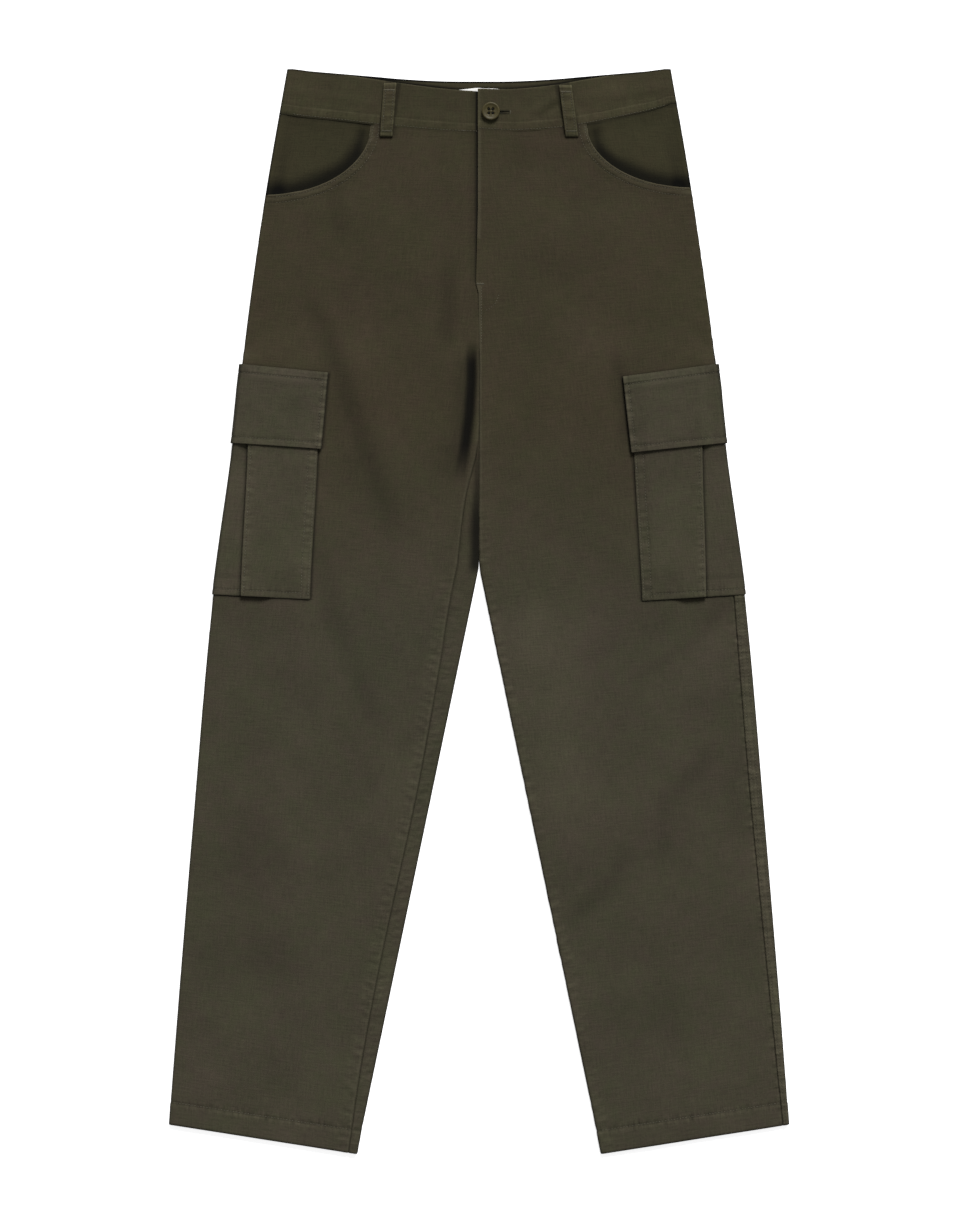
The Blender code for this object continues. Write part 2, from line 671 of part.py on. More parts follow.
def pocket_profile(side, height):
    """Girth and offset of each point round the pocket, with its pleat folded in a flat Z."""
    inner, fold = pocket_reach(side, height)
    turn = PLEAT_PITCH / 2
    bends = [math.pi * step / PLEAT_BEND for step in range(PLEAT_BEND + 1)]
    points = [(girth, pocket_top(side, height, girth)) for girth in drape_girths(side, height)]
    for angle in bends:
        girth = fold + turn - turn * math.sin(angle)
        points.append((girth, POCKET_OUT - turn * (1.0 - math.cos(angle))))
    for angle in bends:
        girth = fold + PLEAT_DEPTH - turn + turn * math.sin(angle)
        points.append((girth, UNDERLAY_OUT + PLEAT_PITCH - turn * (1.0 - math.cos(angle))))
    rolls = roll_nodes()
    points += [(girth, UNDERLAY_OUT) for girth in (fold, (fold + rolls[0]) / 2, *rolls)]
    points += [(-inner * part, UNDERLAY_OUT) for part in POCKET_BACK]
    return points


def build_pocket(side, collection, finish):
    """A patch pocket over the outseam, flat behind and pleated in front."""
    heights = [h for h in LEG_ROWS if POCKET_FOOT <= h <= POCKET_MOUTH]
    columns = len(pocket_profile(side, POCKET_MOUTH))

    def place(column, row):
        girth, out = pocket_profile(side, heights[row])[column]
        return from_outer(side, heights[row], girth, out)

    return sheet(
        "cargo_pocket_" + SIDES[side], columns, len(heights), place, CLOTH, collection, finish
    )


def flap_out(side, height, girth):
    """Offset of the flap: on the leg at its seam, over the pocket below, ridged at the top."""
    own = CLOTH / 2 + FLAP_CLEARANCE + FLAP_CLOTH / 2
    below = min(height, POCKET_MOUTH)
    _, fold = pocket_reach(side, below)
    over = pocket_top(side, below, girth)
    over = blend(UNDERLAY_OUT, over, ease(girth, fold - FLAP_SPAN, fold))
    if girth < EDGE_RADIUS * math.pi / 2:
        return UNDERLAY_OUT + own
    seat = ease(girth, *FLAP_SEAT)
    at_seam = blend(UNDERLAY_OUT, 0.0, seat)
    down = ease(height, FLAP_TOP, POCKET_MOUTH)
    ridge = FLAP_RIDGE * seat * ease(height, FLAP_RIDGE_FOOT - 2.0, FLAP_RIDGE_FOOT + 1.0)
    return own + blend(at_seam, over, down) + ridge


def build_flap(side, collection, finish):
    """The flap over a pocket's mouth, wrapped over the outseam and down the back."""
    heights = [FLAP_TOP, FLAP_RIDGE_FOOT + 1.5, FLAP_RIDGE_FOOT - 1.0]
    heights += [h for h in LEG_ROWS if FLAP_FOOT <= h <= POCKET_MOUTH]

    def place(column, row):
        height = heights[row]
        width = read(FLAP_WIDTH[side], height, soft=False) + EDGE_RADIUS * 0.5
        below = min(height, POCKET_MOUTH)
        _, fold = pocket_reach(side, below)
        girths = [width] + drape_girths(side, below)
        rolls = roll_nodes()
        girths += [blend(fold, rolls[0], part) for part in FLAP_FRONT] + rolls
        girths += [-width * part for part in FLAP_BACK]
        girth = girths[column]
        return from_outer(side, height, girth, flap_out(side, height, girth))

    columns = 1 + len(drape_girths(side, POCKET_MOUTH)) + len(FLAP_FRONT + FLAP_BACK)
    columns += len(roll_nodes())
    return sheet(
        "cargo_flap_" + SIDES[side], columns, len(heights), place, FLAP_CLOTH, collection, finish
    )


def band_edge_point(side, table, part, girth):
    """A point on the waistband's rolled side, by girth from the side edge."""
    end = table[side][-1]
    y = blend(end.seam + SEAM_GAP / 2, end.top, part)
    quarter = BAND_RADIUS * math.pi / 2
    if abs(girth) <= quarter:
        turn = girth / BAND_RADIUS
        inset = BAND_RADIUS * (1.0 - math.cos(turn))
        z = BAND_CLOTH / 2 + BAND_RADIUS * (1.0 + math.sin(turn))
    else:
        inset = BAND_RADIUS + abs(girth) - quarter
        z = BAND_CLOTH / 2 + (2 * BAND_RADIUS if girth > 0 else 0.0)
    x = read(OUTLINE, y) - BAND_CLOTH / 2 - inset
    return side * x, y, z


def build_band_front(side, collection, finish):
    """Half of the front waistband. The right one runs on under the left as the underlap."""
    quarter = BAND_RADIUS * math.pi / 2
    start = BAND_SEAM + SEAM_GAP / 2
    girths = (start, -quarter, -quarter / 2, 0.0, quarter / 2, quarter, BAND_ROLL_END)
    across = BAND_COLUMNS[side]

    def place(column, row):
        part = BAND_ROWS[row]
        if column < len(girths):
            return band_edge_point(side, FRONT_WAIST, part, girths[column])
        x = across[column - len(girths)]
        table = FRONT_WAIST[side if x > -5.0 else LEFT]
        low = read(table, abs(x), soft=False) + SEAM_GAP / 2
        top = read(table, abs(x), 2, soft=False)
        lean = 1.0 - BAND_LEAN * part
        return side * x * lean, blend(low, top, part), band_front_level(side, x)

    return sheet(
        "waistband_front_" + SIDES[side], len(girths) + len(across), len(BAND_ROWS), place,
        BAND_CLOTH, collection, finish,
    )


def build_band_back(collection, finish):
    """The back of the waistband, from side seam to side seam along the surface."""
    half = len(BACK_WAIST_COLUMNS) + 1

    def side_point(side, index, part):
        if index == 0:
            return band_edge_point(side, BACK_WAIST, part, BAND_SEAM - SEAM_GAP / 2)
        x = BACK_WAIST_COLUMNS[index - 1]
        low = read(BACK_WAIST[side], x, soft=False) + SEAM_GAP / 2
        top = read(BACK_WAIST[side], x, 2, soft=False)
        lean = 1.0 - BAND_LEAN * part
        return side * x * lean, blend(low, top, part), BAND_CLOTH / 2

    def place(column, row):
        part = BAND_ROWS[row]
        if column < half:
            return side_point(LEFT, column, part)
        if column > half:
            return side_point(RIGHT, 2 * half - column, part)
        centre = BACK_WAIST[LEFT][0]
        return 0.0, blend(centre.seam + SEAM_GAP / 2, centre.top, part), BAND_CLOTH / 2

    return sheet(
        "waistband_back", 2 * half + 1, len(BAND_ROWS), place, BAND_CLOTH, collection, finish
    )


def build_belt_loop(side, collection, finish):
    """A strip tacked above the waistband's top edge and just below its seam, arched between."""
    loop = LOOPS[side]

    def place(column, row):
        part = row / LOOP_ROWS
        x = blend(loop.top_x, loop.foot_x, part) + LOOP_WIDTH * (column / 2 - 0.5)
        y = blend(loop.top_y, loop.foot_y, part)
        seat = band_front_level(side, side * x) + BAND_CLOTH / 2
        return x, y, seat + SEAM_GAP + LOOP_CLOTH / 2 + LOOP_ARCH * math.sin(math.pi * part) ** 0.6

    return sheet(
        "belt_loop_" + SIDES[side], 3, LOOP_ROWS + 1, place, LOOP_CLOTH, collection, finish
    )


def add_cutter(name, bm, cutters):
    """Makes a cutter, which is drawn as wire and never rendered."""
    cutter = finish_mesh(name, bm, cutters)
    cutter.hide_render = True
    cutter.display_type = "WIRE"
    return cutter


def cylinder(radius, foot, top, x, y, segments):
    """A plain upright cylinder, for a cutter."""
    bm = bmesh.new()
    bmesh.ops.create_cone(
        bm, cap_ends=True, segments=segments, radius1=radius, radius2=radius, depth=top - foot
    )
    bmesh.ops.translate(bm, verts=bm.verts, vec=(x, y, (foot + top) / 2))
    return bm


def cut(piece, cutter, name):
    """Cuts a cutter's shape out of a piece."""
    hole = piece.modifiers.new(name, "BOOLEAN")
    hole.operation = "DIFFERENCE"
    hole.object = cutter


def cut_buttonhole(band, cutters):
    """A slot with round ends, through the overlap, from the shank towards the side."""
    foot, top = OVERLAP_MID - 1.5 * BAND_CLOTH, OVERLAP_MID + 1.5 * BAND_CLOTH
    bm = cylinder(BUTTONHOLE_WIDTH / 2, foot, top, 0.0, BUTTON_Y, 16)
    for vertex in bm.verts:
        vertex.co.x += BUTTONHOLE_END if vertex.co.x > 0.01 else BUTTONHOLE_START
    cut(band, add_cutter("cut_buttonhole", bm, cutters), "buttonhole")


def build_button(collection, cutters, finish):
    """A turned button with a raised rim and four holes, on a thread shank."""
    radius = BUTTON_DIAMETER / 2
    seat = OVERLAP_MID + BAND_CLOTH / 2 + SEAM_GAP
    top = seat + BUTTON_THICKNESS
    shank_foot = UNDERLAP_MID + BAND_CLOTH / 2 + SEAM_GAP
    profile = [
        (0.0, shank_foot), (SHANK_RADIUS, shank_foot), (SHANK_RADIUS, seat),
        (radius - BUTTON_RIM, seat), (radius - 0.2 * BUTTON_RIM, seat + 0.28 * BUTTON_THICKNESS),
        (radius, seat + 0.56 * BUTTON_THICKNESS), (radius - 0.2 * BUTTON_RIM, top - 0.4),
        (radius - 0.55 * BUTTON_RIM, top), (radius - BUTTON_RIM, top - 0.4),
        (radius - 1.55 * BUTTON_RIM, top - 0.85 * BUTTON_DISH), (0.0, top - BUTTON_DISH),
    ]
    bm = bmesh.new()
    points = [bm.verts.new((x, 0.0, z)) for x, z in reversed(profile)]
    for first, second in zip(points, points[1:]):
        bm.edges.new((first, second))
    button = finish_mesh("button", bm, collection, finish)
    button.location = (BUTTON_X * MM, BUTTON_Y * MM, 0.0)
    turned = button.modifiers.new("turned", "SCREW")
    turned.steps = turned.render_steps = 24
    turned.use_merge_vertices = True
    turned.merge_threshold = 0.00001
    turned.use_normal_calculate = True
    for across in (-1, 1):
        for along in (-1, 1):
            x = BUTTON_X + across * BUTTON_HOLE_SPACING / 2
            y = BUTTON_Y + along * BUTTON_HOLE_SPACING / 2
            bm = cylinder(BUTTON_HOLE / 2, seat - 1.0, top + 1.0, x, y, 12)
            name = f"cut_button_{across}_{along}"
            cut(button, add_cutter(name, bm, cutters), name)


def build_label(collection, finish):
    """A flat woven label on the inner face of the back waistband."""
    bm = bmesh.new()
    bmesh.ops.create_cube(bm, size=1.0)
    bmesh.ops.scale(bm, vec=(*LABEL_SIZE, CLOTH), verts=bm.verts)
    level = BAND_CLOTH + SEAM_GAP + CLOTH / 2
    bmesh.ops.translate(bm, vec=(*LABEL_CENTRE, level), verts=bm.verts)
    finish_mesh("label", bm, collection, finish)


def build_zip(collection, finish):
    """A closed coil zip: a strip of tape with the coil standing up beside the right front."""

    def place(column, row):
        x, rise = ZIP_PROFILE[column]
        return x, (ZIP_TOP, ZIP_FOOT)[row], ZIP_LEVEL + rise

    return sheet("fly_zip", len(ZIP_PROFILE), 2, place, CLOTH, collection, finish)


def main():
    """Clears the scene and builds every piece."""
    for item in list(bpy.data.objects):
        bpy.data.objects.remove(item, do_unlink=True)
    collection = bpy.data.collections.new("cargo_trousers")
    cutters = bpy.data.collections.new("cutters")
    bpy.context.scene.collection.children.link(collection)
    bpy.context.scene.collection.children.link(cutters)
    for side in SIDES:
        build_panel(side, UPPER, collection, LEG_TWILL)
        build_panel(side, LOWER, collection, LEG_TWILL)
        build_hip_facing(side, collection, FACING_TWILL)
        build_pocket(side, collection, POCKET_TWILL)
        build_flap(side, collection, POCKET_TWILL)
        build_belt_loop(side, collection, BAND_TWILL)
        band = build_band_front(side, collection, BAND_TWILL)
        if side == LEFT:
            cut_buttonhole(band, cutters)
    build_band_back(collection, BAND_TWILL)
    build_button(collection, cutters, BUTTON_RESIN)
    build_label(collection, LABEL_CLOTH)
    build_zip(collection, ZIP_TAPE)


main()
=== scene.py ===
import math
from functools import cache, partial

import bmesh
import bpy
from mathutils import Matrix, Vector, noise
from mathutils.bvhtree import BVHTree


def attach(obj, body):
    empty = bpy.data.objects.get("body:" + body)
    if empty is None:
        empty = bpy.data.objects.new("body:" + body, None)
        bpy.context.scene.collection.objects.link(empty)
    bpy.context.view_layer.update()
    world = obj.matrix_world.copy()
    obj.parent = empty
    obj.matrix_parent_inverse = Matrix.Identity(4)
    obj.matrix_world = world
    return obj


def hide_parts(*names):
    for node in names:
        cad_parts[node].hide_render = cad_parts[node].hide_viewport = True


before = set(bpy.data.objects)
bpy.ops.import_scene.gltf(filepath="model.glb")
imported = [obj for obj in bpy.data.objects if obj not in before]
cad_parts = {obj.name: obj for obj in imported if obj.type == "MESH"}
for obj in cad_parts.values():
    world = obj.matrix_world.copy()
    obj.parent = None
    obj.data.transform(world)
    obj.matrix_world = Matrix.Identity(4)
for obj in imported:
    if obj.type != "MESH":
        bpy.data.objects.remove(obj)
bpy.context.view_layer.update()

# ------------------------------------------------------------------ camera, light and table
# A long lens hangs square above the laid garment. A wide soft light from the waist side gives
# the cloth its relief, a pale room fills it, and the table is a plain white board.
LENS_MM = 85.0
SENSOR_MM = 36.0
VIEW_HEIGHT = 1.222
VIEW_CENTRE_X = 0.001
CLOTH_LEVEL = 0.005
WINDOW_WAY = (-0.2, -0.8, -0.57)
TABLE_REACH = 30.0
TABLE_LEVEL = -0.0003


def linear(colour):
    """An sRGB hex colour as the linear red, green, blue and alpha that a shader takes."""
    channels = [int(colour[n:n + 2], 16) / 255 for n in (1, 3, 5)]
    return *[c / 12.92 if c <= 0.04045 else ((c + 0.055) / 1.055) ** 2.4 for c in channels], 1.0


def new_material(name, settings):
    """A material whose Principled shader has these settings, with its tree and that shader."""
    material = bpy.data.materials.new(name)
    material.use_nodes = True
    shader = material.node_tree.nodes["Principled BSDF"]
    for key, value in settings.items():
        shader.inputs[key].default_value = value
    return material, material.node_tree, shader


def add(tree, kind, *feeds, give=None, **named):
    """Adds a shader node, sets what is named, feeds its inputs in their order with values or
    with other outputs, and returns its first output or the one to give."""
    node = tree.nodes.new("ShaderNode" + kind)
    for key in [key for key in named if hasattr(node, key)]:
        setattr(node, key, named.pop(key))
    inputs = [socket for socket in node.inputs if socket.enabled]
    for socket, feed in [*zip(inputs, feeds), *((node.inputs[key], named[key]) for key in named)]:
        if isinstance(feed, bpy.types.NodeSocket):
            tree.links.new(feed, socket)
        else:
            socket.default_value = feed
    return node.outputs[give] if give else next(socket for socket in node.outputs if socket.enabled)


def place_in_scene(name, bm, *materials, smooth=True):
    """Puts a finished mesh in the scene as an object."""
    for face in bm.faces:
        face.smooth = smooth
    piece = bpy.data.objects.new(name, bpy.data.meshes.new(name))
    bm.to_mesh(piece.data)
    bm.free()
    bpy.context.scene.collection.objects.link(piece)
    for material in materials:
        piece.data.materials.append(material)
    return piece


camera = bpy.data.objects.new("camera", bpy.data.cameras.new("camera"))
camera.data.lens = LENS_MM
camera.data.sensor_width = SENSOR_MM
camera.data.clip_end = 20.0
camera.location = (VIEW_CENTRE_X, 0.0, VIEW_HEIGHT * LENS_MM / SENSOR_MM + CLOTH_LEVEL)
bpy.context.scene.collection.objects.link(camera)
bpy.context.scene.camera = camera
bpy.context.scene.view_settings.view_transform = "Standard"

window = bpy.data.objects.new("window_light", bpy.data.lights.new("window_light", "SUN"))
window.data.energy = 4.4
window.data.angle = math.radians(24.0)
window.rotation_euler = Vector(WINDOW_WAY).to_track_quat("-Z", "Y").to_euler()
bpy.context.scene.collection.objects.link(window)

world = bpy.data.worlds.new("pale_room")
bpy.context.scene.world = world
world.use_nodes = True
room = world.node_tree.nodes["Background"]
room.inputs["Color"].default_value = linear("#f4f5f7")
room.inputs["Strength"].default_value = 0.35

# Matt white laminate: even, with almost no gloss. A little light comes up through it, so that
# what lies on it throws hardly any shadow.
laminate, _, _ = new_material("white_laminate", {
    "Base Color": linear("#f6f6f5"), "Roughness": 0.9, "Specular IOR Level": 0.1,
    "Emission Color": linear("#ffffff"), "Emission Strength": 0.7,
})
table_mesh = bmesh.new()
bmesh.ops.create_grid(table_mesh, x_segments=1, y_segments=1, size=TABLE_REACH)
bmesh.ops.translate(table_mesh, verts=table_mesh.verts, vec=(0.0, 0.0, TABLE_LEVEL))
table = place_in_scene("table", table_mesh, laminate, smooth=False)

# ------------------------------------------------------------------ leg panels
# Two front and two back panels of garment-dyed cotton twill, cut to one straight leg and sewn
# at the outseam, inseam and rise. Each leg lies as a flat tube: a lower layer, an upper layer
# and a soft roll at each edge. Puckers run out from every seam, as washing draws the thread in.
# Lengths are in mm: x from the centre out, y up to the waist, z off the table, and girth the
# way round a leg from an edge, which is below 0 beneath.
MM = 0.001
LEFT, RIGHT = 1, -1
UPPER, LOWER = 1, -1
SIDES = {LEFT: "left", RIGHT: "right"}
QUARTER = math.pi / 2
ROLL_SLACK = QUARTER - 1.0

HALF_WALL = 0.5
TWILL = 0.8
TWILL_SHIFT = HALF_WALL - TWILL / 2
SEAM_GAP = 0.35
EDGE_RADIUS = 1.8
HEM_RADIUS = 2.2
FORK_HEIGHT = 44.0
FORK_SOFTNESS = 5.0
LEG_SPREAD = 0.2085
RISE_OPEN = 270.0
RISE_CLOSED = 236.0
YOKE_HEIGHT = 371.0
FLAP_TOP = 246.6
FLAP_FOOT = 167.5
POCKET_MOUTH = 232.0
POCKET_FOOT = 16.5
HEM_HEIGHT = -512.4
HEM_DEPTH = 21.0
HEM_TURN = 0.65
HEM_REACH = 46.0
HEM_DROP = 1.4
HEM_DROP_REACH = 24.0
STITCH_HEIGHT = 21.5
SEAM_DIP = 1.3


def smooth(part):
    """A soft S from 0 to 1."""
    part = max(0.0, min(1.0, part))
    return part * part * (3.0 - 2.0 * part)


def ease(value, start, end):
    """0 at start and before it, 1 at end and past it."""
    return smooth((value - start) / (end - start))


def blend(low, high, part):
    return low + (high - low) * part


def fade(away, reach):
    """1 where away is 0 or below, 0 where it passes the reach."""
    return smooth(1.0 - away / reach)


def ridge(value, centre, half_width):
    """1 at the centre, 0 at half a width from it."""
    return fade(abs(value - centre), half_width)


def waver(*place):
    """An uneven field, smooth from place to place, from -1 to 1."""
    return noise.noise(Vector(place))


def curve(*points, soft=True):
    """A line through the points, read by its key."""
    rows = sorted(points)
    rises = [(b[1] - a[1]) / (b[0] - a[0]) for a, b in zip(rows, rows[1:])]
    leads = [(a + b) / 2 for a, b in zip(rises[:1] + rises, rises + rises[-1:])]

    @cache
    def value(key):
        if key <= rows[0][0]:
            return rows[0][1]
        if key >= rows[-1][0]:
            return rows[-1][1]
        place = next(n for n in range(len(rises)) if key <= rows[n + 1][0])
        before, after = rows[place], rows[place + 1]
        span = after[0] - before[0]
        part = (key - before[0]) / span
        if not soft:
            return blend(before[1], after[1], part)
        square, cube = part * part, part * part * part
        return (
            (2 * cube - 3 * square + 1) * before[1] + (cube - 2 * square + part) * leads[place] * span
            + (3 * square - 2 * cube) * after[1] + (cube - square) * leads[place + 1] * span
        )

    return value


# Half width of the garment by height, the slope of its rows, and how far each seam lies from
# the edge that it belongs to.
outline = curve(
    (542.0, 192.0), (421.0, 213.0), (311.0, 229.0), (251.0, 236.4), (167.0, 245.4), (16.0, 265.9),
    (-209.0, 286.0), (-439.0, 304.6), (HEM_HEIGHT, 310.2),
)
SLOPE_HEIGHTS = (YOKE_HEIGHT, FLAP_TOP, FLAP_FOOT, POCKET_FOOT, -120.0, HEM_HEIGHT)
row_slope = {
    LEFT: curve(*zip(SLOPE_HEIGHTS, (0.0, 0.133, 0.104, 0.0634, 0.08, 0.157))),
    RIGHT: curve(*zip(SLOPE_HEIGHTS, (0.0, 0.0986, 0.0676, 0.0518, 0.075, 0.157))),
}
outseam = {
    LEFT: curve(
        (542.0, 1.0), (251.0, 1.0), (160.0, 5.0), (11.0, 12.0), (-129.0, 13.8), (-489.0, 8.0),
        (HEM_HEIGHT, 7.3),
    ),
    RIGHT: curve((542.0, -1.5), (251.0, -1.5), (16.0, -5.0), (HEM_HEIGHT, -6.0)),
}
inseam = {
    LEFT: curve((RISE_CLOSED, 0.0), (200.0, -1.5), (150.0, -4.5), (-542.0, -4.5)),
    RIGHT: curve(
        (RISE_CLOSED, 0.0), (166.0, 2.0), (111.0, 14.5), (51.0, 21.5), (21.0, 22.5), (-62.0, 18.8),
        (-177.0, 15.5), (-361.0, 16.5), (-456.0, 14.3), (-541.0, 9.5),
    ),
}
FLY_FOOT = 316.0
fly_edge = {
    LEFT: curve((530.0, -1.0), (400.0, -1.2), (328.0, -3.0), (FLY_FOOT, 0.1), soft=False),
    RIGHT: curve((530.0, -5.0), (336.0, -5.0), (FLY_FOOT, 0.1), soft=False),
}
SIDE_END = 200.0
WAIST_STATIONS = (0.0, 38.0, 81.0, 108.0, 141.0, 174.0, 188.0, SIDE_END)
waist_seam = {key: curve(*zip(WAIST_STATIONS, heights)) for key, heights in {
    (UPPER, LEFT): (481.0, 479.3, 482.7, 486.8, 493.5, 501.0, 505.2, 507.5),
    (UPPER, RIGHT): (478.0, 479.9, 483.9, 486.5, 490.2, 493.6, 495.4, 496.5),
    (LOWER, LEFT): (490.0, 490.7, 493.4, 496.0, 499.7, 503.4, 505.2, 507.5),
    (LOWER, RIGHT): (490.0, 490.2, 491.2, 492.2, 493.6, 495.2, 496.0, 496.5),
}.items()}
# Centre and reach of each hip pocket's mouth, a quarter of an oval.
HIP_MOUTH = {LEFT: (212.0, 486.8, 104.0, 63.3), RIGHT: (211.0, 486.5, 103.0, 70.2)}
MOUTH_SHARE = 0.52
MOUTH_END_HEIGHT, MOUTH_END_INSET = 430.0, 26.0
# How far the cloth runs on beneath the waistband.
BAND_COVER = 5.0
# The waistband, which the fronts rise to meet.
BAND_CLOTH = 2.0
BAND_RADIUS = 1.5
BAND_FLAT = BAND_CLOTH / 2 + 2 * BAND_RADIUS
BAND_CLIMB, BAND_MET = 440.0, 478.0
OVERLAP_MID = 6.95
UNDERLAP_MID = 4.65
UNDERLAP_END = 40.0
# The cargo pocket and flap, whose rear halves lie beneath the leg and lift it.
UNDERLAY_OUT = 1.4
FLAP_CLOTH = 1.4
FLAP_OUT = UNDERLAY_OUT + HALF_WALL + SEAM_GAP + FLAP_CLOTH / 2
POCKET_FIELD = 106.0
POCKET_RAMP = 20.0
BRIDGE = 30.0

# Soft folds of the upper layer: half width, rise, tone (painted shade in the fold, and a
# painted highlight where it is below 0) and the line that each follows.
SOFT_FOLDS = [
    (17.0, -1.3, 0.27, [(-176, 335), (-158, 285), (-132, 216), (-108, 146), (-92, 96), (-82, 30)]),
    (34.0, -0.3, 0.1, [(-160, 260), (-118, 150), (-96, 70)]),
    (30.0, 0.5, -0.05, [(-190, 270), (-160, 190), (-132, 110)]),
    (20.0, -0.6, 0.16, [(-168, 92), (-146, -5), (-116, -84), (-80, -150)]),
    (15.0, -0.7, 0.3, [(-29, 366), (-31, 305), (-34, 250)]),
    (15.0, -0.4, 0.2, [(-150, 440), (-134, 362)]),
    (60.0, 0.0, 0.08, [(81, 372), (60, 290)]),
    (13.0, -0.5, 0.14, [(262, 22), (211, -34), (140, -82)]),
    (16.0, -0.8, 0.17, [(250, -122), (218, -160), (186, -196), (178, -300)]),
    (18.0, -0.8, 0.19, [(156, -226), (126, -282), (76, -322)]),
    (34.0, 0.7, -0.08, [(56, 14), (62, -80)]),
    (64.0, 0.5, -0.2, [(34, 60), (70, -100), (106, -270)]),
    (40.0, 0.3, -0.12, [(236, 0), (226, -100)]),
    (26.0, 0.2, 0.08, [(252, -60), (262, -250)]),
    (55.0, -0.3, 0.14, [(-190, -220), (-250, -270)]),
    (40.0, -0.4, 0.14, [(-150, -365), (-310, -342)]),
    (45.0, 0.4, -0.12, [(-70, -130), (-90, -240)]),
    (40.0, 0.2, -0.06, [(-235, -90), (-135, -140)]),
    (52.0, -0.3, 0.14, [(110, -404), (220, -408)]),
    (11.0, -0.3, 0.3, [(132, 272), (142, 232), (146, 190), (147, 150)]),
    (24.0, 0.4, -0.05, [(-206, 422), (-110, 400)]),
    (26.0, 0.4, -0.04, [(180, 414), (50, 368)]),
    (30.0, 0.45, -0.05, [(52, 344), (128, 238)]),
]
# The deep fold beside the crotch, where the right leg's spare cloth tucks under.
CROTCH_FOLD = [
    (-7.4, 274.0), (-7.4, 250.0), (-7.8, 226.0), (-9.8, 197.0), (-13.4, 168.0), (-18.0, 141.0),
    (-21.5, 120.0),
]


@cache
def inner_edge(height):
    """Distance of a leg's inner edge from the centre: closed down to the fork, then spreading."""
    below = FORK_HEIGHT - height
    # the legs press on each other a little above the fork, so that no gap shows
    touch = 0.1 + 0.3 * ease(height, 45.0, 75.0)
    return LEG_SPREAD * (below + math.hypot(below, FORK_SOFTNESS)) / 2 - touch


@cache
def edge_radius(height):
    """Radius of the roll at a leg's edges, fuller at the turned hem."""
    return blend(EDGE_RADIUS, HEM_RADIUS, ease(height, HEM_HEIGHT + HEM_REACH, HEM_HEIGHT + 26.0))


@cache
def leg_row(side, height, front=False):
    """Outer end, inner end, inward direction and width of a row, in the half's own x and y."""
    slope = row_slope[side](height)
    outer = outline(height)
    width = outer
    for _ in range(10):
        y = height - slope * width
        inner = fly_edge[side](y) if front and y > FLY_FOOT else inner_edge(y)
        width = outer - inner
    length = math.hypot(1.0, slope)
    return (outer, height), (inner, y), (-1.0 / length, -slope / length), width * length


def base_lift(height, inset, spread=0.0):
    """How far the rear pocket and flap, lying flat beneath, lift a layer of the leg. The upper
    one bridges their edges more softly, by the spread."""
    ramp = POCKET_RAMP + spread * ease(inset, 3.0, 30.0)
    across = ease(inset, POCKET_FIELD + ramp, POCKET_FIELD)
    if across == 0.0:
        return 0.0
    above = ease(height, FLAP_TOP + ramp, FLAP_TOP)
    pocket = ease(height, POCKET_FOOT - ramp, POCKET_FOOT)
    flap = ease(height, FLAP_FOOT - ramp, FLAP_FOOT)
    flap_lift = FLAP_OUT + FLAP_CLOTH / 2 - HALF_WALL
    return across * above * (pocket * UNDERLAY_OUT + flap * (flap_lift - UNDERLAY_OUT))


def along_line(line, x, y):
    """Share of the way along a line of points, and the signed distance from it."""
    best = (1e9, 0.0, 0.0)
    for n, (start, end) in enumerate(zip(line, line[1:])):
        run_x, run_y = end[0] - start[0], end[1] - start[1]
        square = run_x * run_x + run_y * run_y
        part = ((x - start[0]) * run_x + (y - start[1]) * run_y) / square
        part = max(0.0, min(1.0, part))
        off_x, off_y = x - start[0] - part * run_x, y - start[1] - part * run_y
        away = math.hypot(off_x, off_y)
        if away < best[0]:
            turn = run_x * off_y - run_y * off_x
            best = (away, (n + part) / (len(line) - 1), math.copysign(away, turn))
    return best[1], best[2]


def crotch_fold(x, y):
    """Rise of the cloth at the deep fold, and how shaded its bottom is."""
    if not (-62.0 < x < 0.5 and 90.0 < y < 300.0):
        return 0.0, 0.0
    share, away = along_line(CROTCH_FOLD, x, y)
    strength = smooth(share / 0.2) * smooth((1.0 - share) / 0.34)
    far = abs(away)
    hollow = smooth(1.15 * (1.0 - far / 6.5))
    shade = 1.1 * smooth(1.3 * (1.0 - far / (10.0 if away < 0.0 else 9.0)))
    swell = 0.0
    if away < 0.0:
        swell = ridge(far, 9.0, 9.0 if far < 9.0 else 30.0)
        shade = max(shade, 0.4 * fade(far, 24.0))
    return strength * (2.4 * swell - 2.6 * hollow), strength * shade


def band_level(side, x):
    """Mid-level of the front waistband: it rises to lie over the underlap at the centre."""
    if side == LEFT:
        return blend(BAND_FLAT, OVERLAP_MID, ease(x, 81.0, UNDERLAP_END + 5.0))
    return blend(BAND_FLAT, UNDERLAP_MID, ease(x, 60.0, 10.0))


@cache
def soft_folds(side, x, y):
    """Rise of the soft folds at a place on the garment, and their tone there: painted shade, and a painted
    highlight where it is below 0.
    """
    rise = tone = 0.0
    for half_width, height, depth, line in SOFT_FOLDS:
        if line[0][0] * side < 0.0 or not min(line[0][1], line[-1][1]) - half_width < y:
            continue
        if y > max(line[0][1], line[-1][1]) + half_width:
            continue
        share, away = along_line(line, x, y)
        near = fade(abs(away), half_width) * smooth(share / 0.3) * smooth((1.0 - share) / 0.3)
        rise += height * near
        tone += depth * near
    return rise, tone


